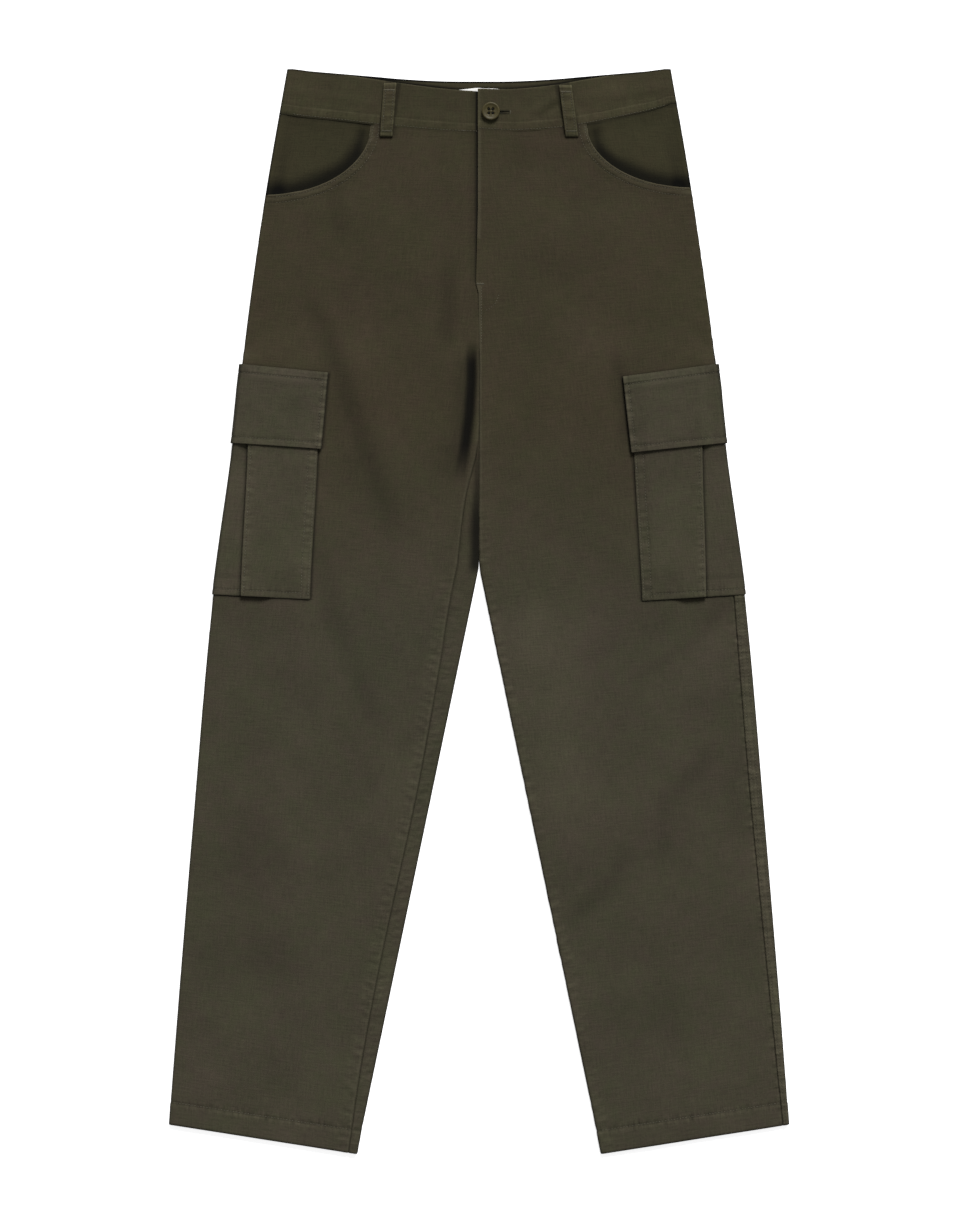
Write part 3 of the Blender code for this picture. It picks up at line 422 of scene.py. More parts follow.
def lift(side, x, y):
    """Rise of the upper layer over its flat level, at a place on the garment."""
    total = soft_folds(side, x, y)[0]
    total += 0.5 * waver(x / 60.0, y / 85.0, 3.7)
    total += 0.12 * waver(x / 19.0, y / 26.0, 9.1)
    if side == RIGHT:
        total += crotch_fold(x, y)[0]
        total -= 1.5 * ridge(x, -3.0, 8.0) * ease(y, 156.0, 120.0) * ease(y, 30.0, 60.0)
    else:
        total += 1.0 * ridge(x, 2.0, 15.0) * ease(y, 268.0, 240.0) * ease(y, 20.0, 70.0)
    total += (band_level(side, side * x) - BAND_FLAT) * ease(y, BAND_CLIMB, BAND_MET)
    if side == LEFT and y > 272.0:
        lap = blend(0.5, 1.4, ease(y, 292.0, 314.0)) * ease(y, 272.0, 290.0)
        total += lap * ease(x, 38.0, 12.0) * ease(y, BAND_MET, BAND_CLIMB)
    return total


def from_outer(side, height, girth, out=0.0):
    """A point by its girth from the outer edge, moved out of the cloth by out."""
    outer, _, inward, _ = leg_row(side, height)
    radius = edge_radius(height)
    quarter = radius * QUARTER
    turn = max(-QUARTER, min(QUARTER, girth / radius))
    inset = radius - (radius + out) * math.cos(turn) + max(0.0, abs(girth) - quarter)
    x, y = outer[0] + inward[0] * (inset + HALF_WALL), outer[1] + inward[1] * (inset + HALF_WALL)
    spread = BRIDGE if girth > 0.0 else 0.0
    z = HALF_WALL + base_lift(height, inset, spread) + radius + (radius + out) * math.sin(turn)
    if girth > 0.0:
        z += smooth(girth / quarter) * lift(side, side * x, y)
    return side * x, y, z


def from_inner(side, height, girth, out=0.0, front=False):
    """A point by its girth from the inner edge, which is a plain seam above the crotch."""
    _, inner, inward, width = leg_row(side, height, front)
    radius = edge_radius(height)
    quarter = radius * QUARTER
    closed = ease(inner[1], RISE_OPEN, RISE_CLOSED)
    full = closed * QUARTER
    inset, drop = abs(girth), 0.0
    if closed > 0.001:
        big = radius / closed
        bend = full * max(0.0, 1.0 - abs(girth) / quarter)
        inset = HALF_WALL * math.sin(full) + big * math.sin(full) - (big + out) * math.sin(bend)
        inset += max(0.0, abs(girth) - quarter)
        drop = (big + out) * (1.0 - math.cos(bend))
    x, y = inner[0] - inward[0] * inset, inner[1] - inward[1] * inset
    low = HALF_WALL + base_lift(height, width - inset, BRIDGE if girth > 0.0 else 0.0)
    if girth <= 0.0:
        return side * x, y, low - out + drop
    rise = lift(side, side * x, y) * (1.0 - closed * (1.0 - smooth(abs(girth) / quarter)))
    return side * x, y, low + 2 * radius + out - drop + rise


def pucker(along, across, reach, pitch, seed):
    """Small gathers that run out from a seam, uneven in strength: rise from -1 to 1."""
    near = fade(abs(across), reach)
    if near == 0.0:
        return 0.0
    strength = 0.75 + 1.1 * waver(along / 70.0, seed, 5.3)
    return near * strength * 2.0 * waver(along / pitch, across / 17.0, seed)


def ladder(along, pitch, seed):
    """Rungs where the thread draws the cloth in, uneven in place and strength: from -1 to 1."""
    drift = pitch * waver(along / (4.0 * pitch), seed, 1.7)
    strength = 0.7 + 1.0 * waver(along / 45.0, seed, 8.8)
    return max(0.2, min(1.2, strength)) * math.sin((along + drift) * math.tau / pitch)


def dark_edge(girth):
    """How deep in shade the cloth is where it rolls away at a garment's edge."""
    return 0.7 * ease(girth, 2.7, 1.1) * ease(girth, -3.2, -0.8)


def down_pocket(*insets):
    """An inset by height, from those at the pocket's mouth, the flap's foot and the pocket's."""
    return curve(*zip((POCKET_MOUTH, FLAP_FOOT, POCKET_FOOT), insets), soft=False)


# Where the pocket and the flap end on the leg: the inset of their inner edges.
pocket_inner = {LEFT: down_pocket(88.0, 91.0, 103.0), RIGHT: down_pocket(80.0, 84.5, 97.0)}
flap_width = {
    LEFT: curve((FLAP_TOP, 94.0), (FLAP_FOOT, 93.4), soft=False),
    RIGHT: curve((FLAP_TOP, 86.6), (FLAP_FOOT, 87.8), soft=False),
}


def patch_edge(side, height):
    """Inset of the edge of whatever lies over the leg on a row: the flap or the pocket."""
    flap = ease(height, FLAP_FOOT - 2.5, FLAP_FOOT + 0.5)
    return blend(pocket_inner[side](height), flap_width[side](height), flap) - HALF_WALL


# Girths of the columns near a panel's edge: round the roll, and from a seam on the flat.
WRAP_GIRTHS = (
    -22.5, -20.0, -17.5, -15.5, -13.5, -11.5, -9.8, -8.2, -6.7, -5.3, -4.0, -2.9, -2.1, -1.4, -0.7, 0.0,
    0.7, 1.4, 2.1, 2.9, 4.0, 5.4, 7.0, 8.8, 10.8, 13.0, 15.5, 18.5, 22.0, 26.0,
)
PLAIN_GIRTHS = (0.0, 0.35, 0.8, 1.4, 2.4, 3.8, 5.4, 7.0, 8.6, 10.4, 12.4, 14.6, 17.0, 20.0, 23.5)
SEAM_TOUCH = 0.03


def edge_girths(seam, wrapped):
    """Girths of the columns by an edge, in the panel's own sign, from its seam to the flat."""
    if wrapped:
        return [max(girth, seam + SEAM_TOUCH + 0.35 * n) for n, girth in enumerate(WRAP_GIRTHS)]
    return [seam + SEAM_TOUCH + step for step in PLAIN_GIRTHS]


@cache
def row_girths(side, layer, height):
    """Girths of a row's columns by its outer edge, and by its inner edge."""
    inner_y = leg_row(side, height, layer == UPPER)[1][1]
    inner_seam = inseam[side](inner_y) if inner_y < RISE_CLOSED else 0.0
    outer = edge_girths(layer * outseam[side](height), layer != side)
    inner = edge_girths(layer * inner_seam, layer == side)
    return outer, inner


def on_mouth(side, angle, away=0.0):
    """Plan point of the hip pocket's mouth on either half, or that far outside it."""
    centre_x, top, reach, drop = HIP_MOUTH[side]
    return centre_x - (reach + away) * math.cos(angle), top - (drop + away) * math.sin(angle)


def mouth_distance(side, x, y):
    """Distance outside the hip pocket's mouth curve; below 0 is inside the mouth."""
    centre_x, top, reach, drop = HIP_MOUTH[side]
    across, down = (centre_x - abs(x)) / reach, max(0.0, top - y) / drop
    far = math.hypot(across, down)
    if far < 0.05:
        return -drop
    return (far - 1.0) * far / math.hypot(across / reach, down / drop)


ROW_PITCH = 2.3
LEVEL_END = -486.0
CLOSE_END = -511.0
YOKE_ROWS = 52
OUTSEAM_STITCHES = (3.2, 8.6)
MOUTH_STITCHES = (2.2, 8.0)


def leg_rows():
    """Height and inward offset of each row, from under the yoke to inside the turned hem."""
    count = round((YOKE_HEIGHT - LEVEL_END) / ROW_PITCH)
    heights = [blend(YOKE_HEIGHT, LEVEL_END, n / count) for n in range(count)]
    heights += [POCKET_FOOT + off for off in (0.2, -0.9, -3.2)]
    rows = [(height, 0.0) for height in sorted(heights, reverse=True)]
    rows += [(blend(LEVEL_END, CLOSE_END, n / 18), 0.0) for n in range(18)]
    fold = HEM_HEIGHT + 0.4 + HEM_TURN
    for step in range(9):
        angle = math.pi * step / 8
        rows.append((fold - HEM_TURN * math.sin(angle), -HEM_TURN * (1.0 - math.cos(angle))))
    rows += [(fold + HEM_DEPTH * part, -2 * HEM_TURN) for part in (0.25, 0.5, 0.75, 1.0)]
    return rows


def seam_relief(side, layer, height, to_outseam, to_inseam):
    """Stand of a panel over its plain form by its two long seams, and the marks they leave."""
    seed = 11.0 * side + 3.0 * layer
    front = layer == UPPER
    inner_y = leg_row(side, height, front)[1][1]
    closed = ease(inner_y, RISE_OPEN, RISE_CLOSED)
    pull = 0.0
    # outseam: the wearer's left one is topstitched on the strip that shows
    reach, depth = (14.0, 0.26) if side == LEFT else (10.0, 0.18)
    rise = pucker(height, to_outseam, reach, 6.5, seed)
    out = depth * rise - SEAM_DIP * fade(to_outseam, 1.3)
    wear, shade = 0.5 * max(0.0, rise), 0.0
    if side == LEFT:
        below = ease(height, POCKET_FOOT + 4.0, POCKET_FOOT - 2.0)
        pull = below * ease(to_outseam, 13.0, 9.0)
        if front:
            pull *= ease(to_outseam, 6.0, 1.0)
        else:
            out += 0.3 * ease(to_outseam, 0.4, 2.0) * ease(to_outseam, 13.0, 9.0)
            wear += 0.55 * below * ease(to_outseam, 0.6, 2.0) * ease(to_outseam, 12.5, 8.0)
            grooves = sum(ridge(to_outseam, stitch, 1.5) for stitch in OUTSEAM_STITCHES)
            out -= 0.2 * grooves
            shade += 0.3 * below * grooves
    shade += 0.35 * fade(to_outseam, 1.2)
    # inseam and rise
    seam_at = abs(inseam[side](inner_y)) if closed else 0.0
    dip = ease(height, FLY_FOOT, 292.0) * ease(height, 270.0, 286.0) + closed * ease(seam_at, 1.0, 3.5)
    out -= SEAM_DIP * fade(to_inseam, 1.3) * dip
    shade += 0.3 * fade(to_inseam, 1.1) * max(dip, ease(height, FLY_FOOT, 292.0) * (1.0 - closed))
    slanted = height - 0.45 * to_inseam
    if side == RIGHT:
        near = ease(to_inseam, 17.0, 9.0) * ease(to_inseam, 0.6, 2.6) * ease(height, 80.0, -10.0)
        rungs = ladder(slanted, 9.2, seed)
        if front:
            out += 0.5 * ease(to_inseam, 9.0, 5.0) * ease(to_inseam, 0.3, 1.4) * closed
            wear += 0.4 * ridge(to_inseam, 1.4, 1.9) * closed
    else:
        near = ease(to_inseam, 21.0, 14.0) * ease(to_inseam, 5.0, 9.0)
        near *= 0.3 * ease(height, 262.0, 240.0) + 0.7 * ease(height, 150.0, 50.0)
        rungs = ladder(slanted, 10.0, seed) if front else 0.0
    drawn = ease(height, 220.0, 130.0)
    out += 0.15 * near * rungs + 0.26 * pucker(slanted, to_inseam, 20.0, 7.0, seed + 40.0) * drawn
    wear += 0.5 * near * max(0.0, rungs)
    pull += 0.6 * near
    return out, {"wear": wear, "shade": shade, "seam_pull": pull}


def hem_relief(side, layer, above, along):
    """Stand of a leg's foot over its plain form, and the marks of its turned, stitched hem."""
    off = above - STITCH_HEIGHT
    rope = pucker(along + 0.8 * off, off, 15.0, 7.0, 11.0 * side + 3.0 * layer + 80.0)
    out = 0.22 * rope + 0.25 * ease(off, 0.5, -1.5) - 0.35 * ridge(off, 0.0, 1.6)
    wear = 0.2 * max(0.0, rope) + 0.25 * ridge(off, -2.6, 2.4) + 0.12 * ease(off, 1.0, -1.0)
    shade = 0.42 * ridge(off, 0.0, 1.4) + 0.6 * ease(above, 1.9, 0.8) + 0.05
    return out, {"wear": wear, "shade": shade, "hem_pull": 0.9 * ridge(off, -1.0, 9.0)}


LOOPS = {LEFT: (86.3, 525.6, 93.0, 474.3), RIGHT: (-88.8, 527.6, -92.8, 474.3)}
LOOP_WIDTH = 12.6


def beside_loop(x, y):
    """How deep in shade a place is, close beside or below a belt loop."""
    top_x, top_y, foot_x, foot_y = LOOPS[LEFT if x > 0.0 else RIGHT]
    centre = blend(foot_x, top_x, max(0.0, min(1.0, (y - foot_y) / (top_y - foot_y))))
    aside = abs(x - centre) - LOOP_WIDTH / 2
    return 0.45 * ease(aside, 2.4, 0.3) * ease(foot_y - y, 2.0, 0.2)


def fly_shade(x):
    """How deep in shade the right front is, where the left one laps over it."""
    return 0.8 * ease(x, -5.0, -2.2) + 0.25 * ease(x, -12.0, -4.0)


# Offsets of the columns that follow the edge of the flap and pocket.
EDGE_OFFSETS = (-2.5, 0.0, 0.9, 1.9, 3.0, 4.6, 7.5)
OUTER_FLATS = 8
INNER_FLATS = 13
BACK_FLATS = 13


def build_panel(side, layer):
    """The grid of a panel: its columns follow the legs' edges, its rows run across."""
    rows = leg_rows()
    front = layer == UPPER
    flats = OUTER_FLATS + len(EDGE_OFFSETS) + INNER_FLATS if front else BACK_FLATS
    outer_count, inner_count = (len(g) for g in row_girths(side, layer, YOKE_HEIGHT))
    columns = outer_count + flats + inner_count

    def flat_inset(height, n):
        """Inset of the flat's nth column from the outer edge, the row's width and a roll's slack."""
        outer, inner = row_girths(side, layer, height)
        width = leg_row(side, height, front)[3]
        slack = edge_radius(height) * ROLL_SLACK
        start, end = outer[-1] - slack, width - inner[-1] + slack
        if not front:
            return blend(start, end, (n + 1) / (flats + 1)), width, slack
        edge = patch_edge(side, height)
        if n < OUTER_FLATS:
            return blend(start, edge + EDGE_OFFSETS[0], (n + 1) / (OUTER_FLATS + 1)), width, slack
        n -= OUTER_FLATS
        if n < len(EDGE_OFFSETS):
            return edge + EDGE_OFFSETS[n], width, slack
        n -= len(EDGE_OFFSETS)
        return blend(edge + EDGE_OFFSETS[-1], end, (n + 1) / (INNER_FLATS + 1)), width, slack

    def level_point(height, column, fold=0.0):
        """A point on a level row, moved in by the fold, with its girth and its marks."""
        outer, inner = row_girths(side, layer, height)
        n = min(max(column - outer_count, 0), flats - 1)
        inset, width, slack = flat_inset(height, n)
        shift = TWILL_SHIFT + fold
        if column < outer_count:
            girth = outer[column]
            to_outseam, to_inseam = girth - outer[0], width - girth
        elif column >= outer_count + flats:
            girth = width - inner[columns - 1 - column]
            to_outseam, to_inseam = girth, width - girth - inner[0]
        else:
            girth = inset + slack
            to_outseam, to_inseam = girth - outer[0], width - inset + slack - inner[0]
        out, marks = seam_relief(side, layer, height, to_outseam, to_inseam)
        above = height - HEM_HEIGHT
        if above < HEM_REACH:
            stand, more = hem_relief(side, layer, above, girth)
            out += stand
            marks = {key: marks.get(key, 0.0) + more.get(key, 0.0) for key in {**marks, **more}}
        if column < outer_count:
            marks["shade"] += dark_edge(layer * girth)
        elif column >= outer_count + flats:
            inner_girth = layer * inner[columns - 1 - column]
            marks["shade"] += dark_edge(inner_girth) * ease(height, FORK_HEIGHT + 6.0, FORK_HEIGHT - 2.0)
            return from_inner(side, height, inner_girth, out + shift, front), girth, marks
        return from_outer(side, height, layer * girth, out + shift), girth, marks

    def top_place(column):
        """Plan place of a flat column's top: the mouth's curve, then inside the waist seam."""
        part = (column - outer_count + 1) / (flats + 1)
        seam = waist_seam[layer, side]
        if not front:
            foot = abs(level_point(YOKE_HEIGHT, column)[0][0])
            x = foot * outline(500.0) / outline(YOKE_HEIGHT)
            return x, seam(x) + BAND_COVER
        centre_x, top, reach, _ = HIP_MOUTH[side]
        start = math.acos((centre_x - (outline(MOUTH_END_HEIGHT) - MOUTH_END_INSET)) / reach)
        if part < MOUTH_SHARE:
            return on_mouth(side, start * (1.0 - part / MOUTH_SHARE))
        x = blend(centre_x - reach, 26.0, (part - MOUTH_SHARE) / (1.0 - MOUTH_SHARE))
        return x, blend(top, seam(x) + BAND_COVER, smooth((part - MOUTH_SHARE) / 0.06))

    def yoke_place(column, part):
        """Above the level rows: part runs from 0 at the top row of those to 1 at the top."""
        seam = waist_seam[layer, side]
        if column < outer_count:
            girth = row_girths(side, layer, YOKE_HEIGHT)[0][column]
            top = seam(SIDE_END) + 4.0
            if front:
                centre_x, mouth_top, reach, drop = HIP_MOUTH[side]
                across = (centre_x - (outline(MOUTH_END_HEIGHT) - max(0.0, girth))) / reach
                top = mouth_top - drop * math.sqrt(1.0 - min(1.0, across) ** 2)
            return level_point(blend(YOKE_HEIGHT, top, part), column)
        if column >= outer_count + flats:
            top = seam(0.0)
            for _ in range(3):
                top = seam(abs(level_point(top, column)[0][0])) + BAND_COVER
            return level_point(blend(YOKE_HEIGHT, top, part), column)
        foot, _, marks = level_point(YOKE_HEIGHT, column)
        top_x, top_y = top_place(column)
        x, y = blend(side * foot[0], top_x, part), blend(YOKE_HEIGHT, top_y, part)
        slack = edge_radius(y) * ROLL_SLACK
        girth = outline(y) - HALF_WALL - x + slack
        return from_outer(side, y, layer * girth, TWILL_SHIFT), girth, {}

    def front_shade(x, y, height, girth):
        """Shade on the front panels: beside the pocket and flap, at the fly and at the crotch."""
        slack = edge_radius(height) * ROLL_SLACK
        aside = girth - slack - patch_edge(side, height)
        beside = 0.7 * ease(aside, 3.6, 0.5) * ease(height, POCKET_FOOT - 1.5, POCKET_FOOT)
        below = 0.35 * ease(aside, 0.5, -1.0) * ease(height, POCKET_FOOT - 4.5, POCKET_FOOT - 0.5)
        shade = beside * ease(height, FLAP_TOP + 1.5, FLAP_TOP - 1.0)
        shade += below * ease(height, POCKET_FOOT + 4.0, POCKET_FOOT)
        if side == RIGHT:
            shade += crotch_fold(x, y)[1]
            shade += fly_shade(x) * ease(y, 325.0, 332.0)
        return shade + max(0.0, soft_folds(side, x, y)[1])

    def place(column, row):
        """Point, place in the cut and marks of the panel at a column and a row."""
        if row >= YOKE_ROWS:
            height, fold = rows[row - YOKE_ROWS]
            (x, y, z), girth, marks = level_point(height, column, fold)
            if side == RIGHT and z > 1.2:
                wedge = blend(5.0, 12.5, ease(y, 160.0, 70.0))
                tucked = ease(-x, 1.1 * wedge, 0.35 * wedge) * ease(y, 178.0, 140.0) * ease(y, 32.0, 46.0)
                marks["shade"] += blend(0.5, 1.0, ease(y, 140.0, 85.0)) * tucked
                marks["wear"] *= 1.0 - tucked
            if front:
                marks["shade"] += front_shade(x, y, height, girth)
                # painted highlight where a soft fold's tone is below 0
                marks["wear"] += 1.6 * max(0.0, -soft_folds(side, x, y)[1])
                if side == LEFT:
                    # a painted highlight along the left front's edge, where it laps over the right
                    lapped = 0.6 * ease(x, 3.6, 1.6) * ease(y, 330.0, 325.0)
                    marks["wear"] += lapped * ease(y, 40.0, 60.0)
            y -= HEM_DROP * ease(height, HEM_HEIGHT + HEM_DROP_REACH, HEM_HEIGHT)
            return (x, y, z), (girth, height), marks
        part = 1.0 - row / YOKE_ROWS
        part = blend(part, 1.0 - (1.0 - part) ** 1.6, 0.5)
        (x, y, z), girth, marks = yoke_place(column, part)
        wear, shade, pull = (marks.get(key, 0.0) for key in ("wear", "shade", "seam_pull"))
        seam = waist_seam[layer, side](abs(x))
        if front:
            away = mouth_distance(side, x, y)
            near = fade(away, 16.0)
            ends = ease(abs(x), 206.0, 188.0) * ease(abs(x), 110.0, 124.0)
            z += 1.1 * near * ends
            first, second = MOUTH_STITCHES
            z -= 0.26 * (ridge(away, first, 1.2) + ridge(away, second, 1.4)) - 0.16 * ridge(away, 5.0, 2.6)
            z -= 0.25 * fade(away, 0.9)
            z += 0.14 * pucker(x - y, away - 5.0, 9.0, 4.6, 50.0)
            wear += 0.75 * fade(away, 1.8) + 0.2 * ridge(away, 5.0, 3.0)
            shade += 0.25 * (ridge(away, first + 0.2, 1.1) + ridge(away, second, 1.4))
            pull += 0.5 * ease(away, 11.0, 7.0)
            shade += beside_loop(x, y) + 0.22 * ease(y, seam - 2.6, seam - 0.5)
            # painted shade in the soft folds, and a painted highlight where their tone is below 0
            tone = soft_folds(side, x, y)[1]
            shade += max(0.0, tone)
            wear += 1.6 * max(0.0, -tone)
            if side == RIGHT:
                shade += fly_shade(x)
            else:
                # a painted highlight along the left front's lapped edge
                wear += 0.6 * ease(x, 3.0, 0.6)
        z += 0.25 * ease(y, seam - 8.0, seam - 1.0)
        return (x, y, z), (girth, y), {"wear": wear, "shade": shade, "seam_pull": pull}

    return columns, YOKE_ROWS + len(rows), place


MARKS = ("wear", "shade", "seam_pull", "hem_pull")


def cloth(name, node, grid, wall, material, rim=0.3):
    """A piece of cloth: columns by rows of points, each put in its place, thickened about their
    middle."""
    columns, rows, place = grid
    bm = bmesh.new()
    bmesh.ops.create_grid(bm, x_segments=columns - 1, y_segments=rows - 1, size=1.0)
    layers = {mark: bm.verts.layers.float.new(mark) for mark in MARKS}
    uv_layer = bm.loops.layers.uv.new("UVMap")
    spread = {}
    for vertex in bm.verts:
        column = round((vertex.co.x + 1.0) / 2.0 * (columns - 1))
        row = round((1.0 - vertex.co.y) / 2.0 * (rows - 1))
        (x, y, z), place_in_cut, marks = place(column, row)
        # what rests on the table lies flat on it
        vertex.co = Vector((x, y, max(z, wall / 2))) * MM
        for mark, layer in layers.items():
            vertex[layer] = max(0.0, min(1.15, marks.get(mark, 0.0)))
        spread[vertex] = Vector(place_in_cut) * MM
    for face in bm.faces:
        for loop in face.loops:
            loop[uv_layer].uv = spread[loop.vert]
    piece = place_in_scene(name, bm, material)
    thickness = piece.modifiers.new("wall", "SOLIDIFY")
    thickness.thickness = wall * MM
    thickness.offset = 0.0
    if rim:
        soft_rim = piece.modifiers.new("soft rim", "BEVEL")
        soft_rim.width = rim * MM
        soft_rim.segments = 2
        soft_rim.limit_method = "ANGLE"
        soft_rim.angle_limit = math.radians(62.0)
    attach(piece, "root")
    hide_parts(node)
    return piece


def cloth_pair(node, build, wall, material, rim=0.3):
    """The left and the right copy of a piece of cloth, by side."""
    return {
        side: cloth(
            f"{node}_{hand}_cloth", f"{node}_{hand}", build(side), wall, material,
            rim,
        )
        for side, hand in SIDES.items()
    }


def twill(name, olive, brown, worn_and_lit, start, deep="#ffffff"):
    """Garment-dyed cotton twill: matt, finely ribbed, its dye a little uneven, paler where it
    has rubbed and where a highlight is painted, darkened by painted shade in its folds and
    recesses, and drawn into small gathers beside its stitching."""
    material, tree, shader = new_material(name, {
        "Roughness": 0.92, "Specular IOR Level": 0.14, "Sheen Weight": 0.03, "Sheen Roughness": 0.6,
        "Sheen Tint": linear("#8f8a70"),
    })
    node = partial(add, tree)
    garment = node("TexCoord", give="Object")
    flat = node("UVMap", uv_map="UVMap")
    wear, shade, seam_pull, hem_pull = (node("Attribute", attribute_name=mark, give="Fac") for mark in MARKS)

    # the dye: olive and brown, in clouds of a hand's width with smaller blotches in them
    place = node("Mapping", garment, Location=(start, start * 0.7, 0.0))
    clouds = node("TexNoise", place, Scale=12.0)
    blotches = node("TexNoise", place, Scale=75.0, Detail=5.0, Roughness=0.7)
    dye = node("Math", blotches, 1.6, clouds, operation="MULTIPLY_ADD")
    dye = node("MapRange", dye, 0.98, 1.62)
    dyed = node("Mix", dye, linear(olive), linear(brown), data_type="RGBA")
    # the cloth is a little darker and browner towards the waist
    height = node("SeparateXYZ", garment, give="Y")
    seat = node("MapRange", height, -0.02, 0.2)
    dyed = node("Mix", seat, dyed, linear(deep), data_type="RGBA", blend_type="MULTIPLY")

    # the yarn: slubs along the warp and the weft, and fluff, unevenly washed
    warp, weft = (
        node("TexNoise", node("Mapping", flat, Scale=scale), Scale=1.0)
        for scale in ((900.0, 60.0, 1.0), (55.0, 800.0, 1.0))
    )
    slubs = node("Math", warp, weft, operation="ADD")
    fluff = node("TexNoise", flat, Scale=520.0, Detail=3.0, Roughness=0.7)
    yarn = node("Math", fluff, 1.3, slubs, operation="MULTIPLY_ADD")
    wash = node("TexNoise", place, Scale=14.0, Detail=6.0, Roughness=0.62)
    light = node("Math", wash, 1.15, yarn, operation="MULTIPLY_ADD")
    light = node("MapRange", light, 1.375, 3.075, 0.6, 1.4)

    # gathers beside the stitching, about 6 mm apart
    drawn = []
    for turn, scale in ((0.25, (60.0, 190.0, 1.0)), (-0.35, (290.0, 90.0, 1.0))):
        way = node("Mapping", flat, Rotation=(0.0, 0.0, turn), Scale=scale)
        up_and_down = node("TexNoise", way, Scale=1.0, Detail=1.0, Roughness=0.4)
        drawn.append(node("Math", up_and_down, 0.5, operation="SUBTRACT"))
    by_seam, by_hem = drawn
    by_seam = node("Math", by_seam, seam_pull, operation="MULTIPLY")
    gathers = node("Math", by_hem, hem_pull, by_seam, operation="MULTIPLY_ADD")
    # the gathers also lighten and darken the colour: painted light and shade on their sides
    light = node("Math", gathers, 0.9, light, operation="MULTIPLY_ADD")

    # paler where the cloth is rubbed on ridges and edges and where a highlight is painted, and darker by the
    # painted shade in folds, grooves, recesses, under laps and along edges
    rubbed_and_lit = node("Math", wear, 0.55, operation="MULTIPLY")
    colour = node("Mix", rubbed_and_lit, dyed, linear(worn_and_lit), data_type="RGBA")
    depth = node("Math", shade, -0.84, 1.0, operation="MULTIPLY_ADD")
    light = node("Math", light, depth, operation="MULTIPLY")
    colour = node("VectorMath", colour, Scale=light, operation="SCALE")
    tree.links.new(colour, shader.inputs["Base Color"])

    # the twill line: a real one is 0.6 mm apart, too fine to show, and it is drawn 0.85 mm apart
    lines = node(
        "TexWave", flat, Scale=524.0, Distortion=1.2, Detail=1.0, bands_direction="DIAGONAL", give="Fac",
    )
    weave = node("Math", lines, 0.6, yarn, operation="MULTIPLY_ADD")
    fine = node("Bump", Strength=0.5, Distance=0.00025, Height=weave)
    puckered = node("Bump", Distance=0.0012, Height=gathers, Normal=fine)
    tree.links.new(puckered, shader.inputs["Normal"])
    return material


leg_twill = twill("garment_dyed_twill_leg", "#3a392a", "#3d372d", "#514d3d", 0.0, "#f0e8da")
panels = {}
for side, hand in SIDES.items():
    for layer, face, area, under in (
        (LOWER, "back_", 0.245, "table"), (UPPER, "front_", 0.235, f"back_{hand}_panel"),
    ):
        panels[side, layer] = cloth(
            f"{face}{hand}_panel", face + hand, build_panel(side, layer), TWILL, leg_twill,
        )

# ------------------------------------------------------------------ hip pocket facings
# A facing of the same twill closes each curved hip pocket behind its mouth. It is sewn in the
# outseam and the waist seam, and dips into the pocket below the mouth's edge.
facing_twill = twill("garment_dyed_twill_facing", "#32301f", "#343020", "#423e2b", 1.3)
FACING_MARGIN = 18.0
FACING_START = 94.0
FACING_END = 25.5
FACING_COLUMNS = 40
FACING_ROWS = 44
FACING_ROLL = (5.0, 4.0, 2.9, 2.1, 1.5, 1.0, 0.7, 0.0, -0.7, -1.1, -1.5)


def build_facing(side):
    """The grid of a facing: columns from its inner end to the rolled outseam, rows down."""
    centre_x, top, reach, drop = HIP_MOUTH[side]
    seam = waist_seam[UPPER, side]
    rolls = [26.0 - 1.6 * n for n in range(13)] + [*FACING_ROLL]
    first = outseam[side](480.0) + SEAM_TOUCH
    rolls = [max(girth, first + 0.25 * (len(rolls) - 1 - n)) for n, girth in enumerate(rolls)]

    def foot_at(x, across):
        """Height of the facing's foot, an oval a margin wider than the mouth."""
        inside = max(0.0, (centre_x - x) / (reach + FACING_MARGIN))
        foot = top - (drop + FACING_MARGIN) * math.sqrt(max(0.0, 1.0 - inside * inside))
        return blend(foot, top - drop - 7.0, ease(across, 0.75, 1.0))

    def place(column, row):
        part = row / (FACING_ROWS - 1)
        if column >= FACING_COLUMNS:
            girth = rolls[column - FACING_COLUMNS]
            y = blend(seam(SIDE_END) + 4.0, top - drop - 6.0 * ease(girth, 3.0, 9.0) - 1.0, part)
        else:
            across = column / FACING_COLUMNS
            top_x = blend(FACING_START, outline(500.0) - HALF_WALL - FACING_END, across)
            foot_x = blend(FACING_START, outline(425.0) - HALF_WALL - FACING_END, across)
            y = blend(seam(top_x) + BAND_COVER, foot_at(foot_x, across), part)
            girth = outline(y) - HALF_WALL - blend(top_x, foot_x, part) + EDGE_RADIUS * ROLL_SLACK
        x, y, z = from_outer(side, y, girth, TWILL_SHIFT)
        inset, down = outline(y) - abs(x), seam(abs(x)) - y
        away = min(0.0, mouth_distance(side, x, y))
        near, below = smooth(1.0 + away / 22.0), ease(down, -2.0, 14.0)
        sink = blend(0.35, 1.3, below) * ease(inset, 1.5, 9.0) + 1.25 * near * below * ease(inset, 2.0, 12.0)
        edge = smooth(1.25 * (1.0 + away / (19.0 + 7.0 * waver(x / 26.0, y / 30.0, 4.0 + side))))
        shade = 0.95 * edge * ease(abs(x), 106.0, 122.0) * blend(0.5, 1.0, ease(down, 3.0, 9.0))
        shade += dark_edge(inset)
        shade += 0.25 * ridge(inset, 12.0, 10.0) * ease(y, 500.0, 440.0) + 0.06
        shade += 0.4 * ridge(down, 0.5, 2.6)
        return (x, y, z - sink), (girth, y), {"wear": 0.3 * ridge(inset, 2.4, 2.0), "shade": shade}

    return FACING_COLUMNS + len(rolls), FACING_ROWS, place


cloth_pair(
    "hip_facing", build_facing, TWILL, facing_twill,
)

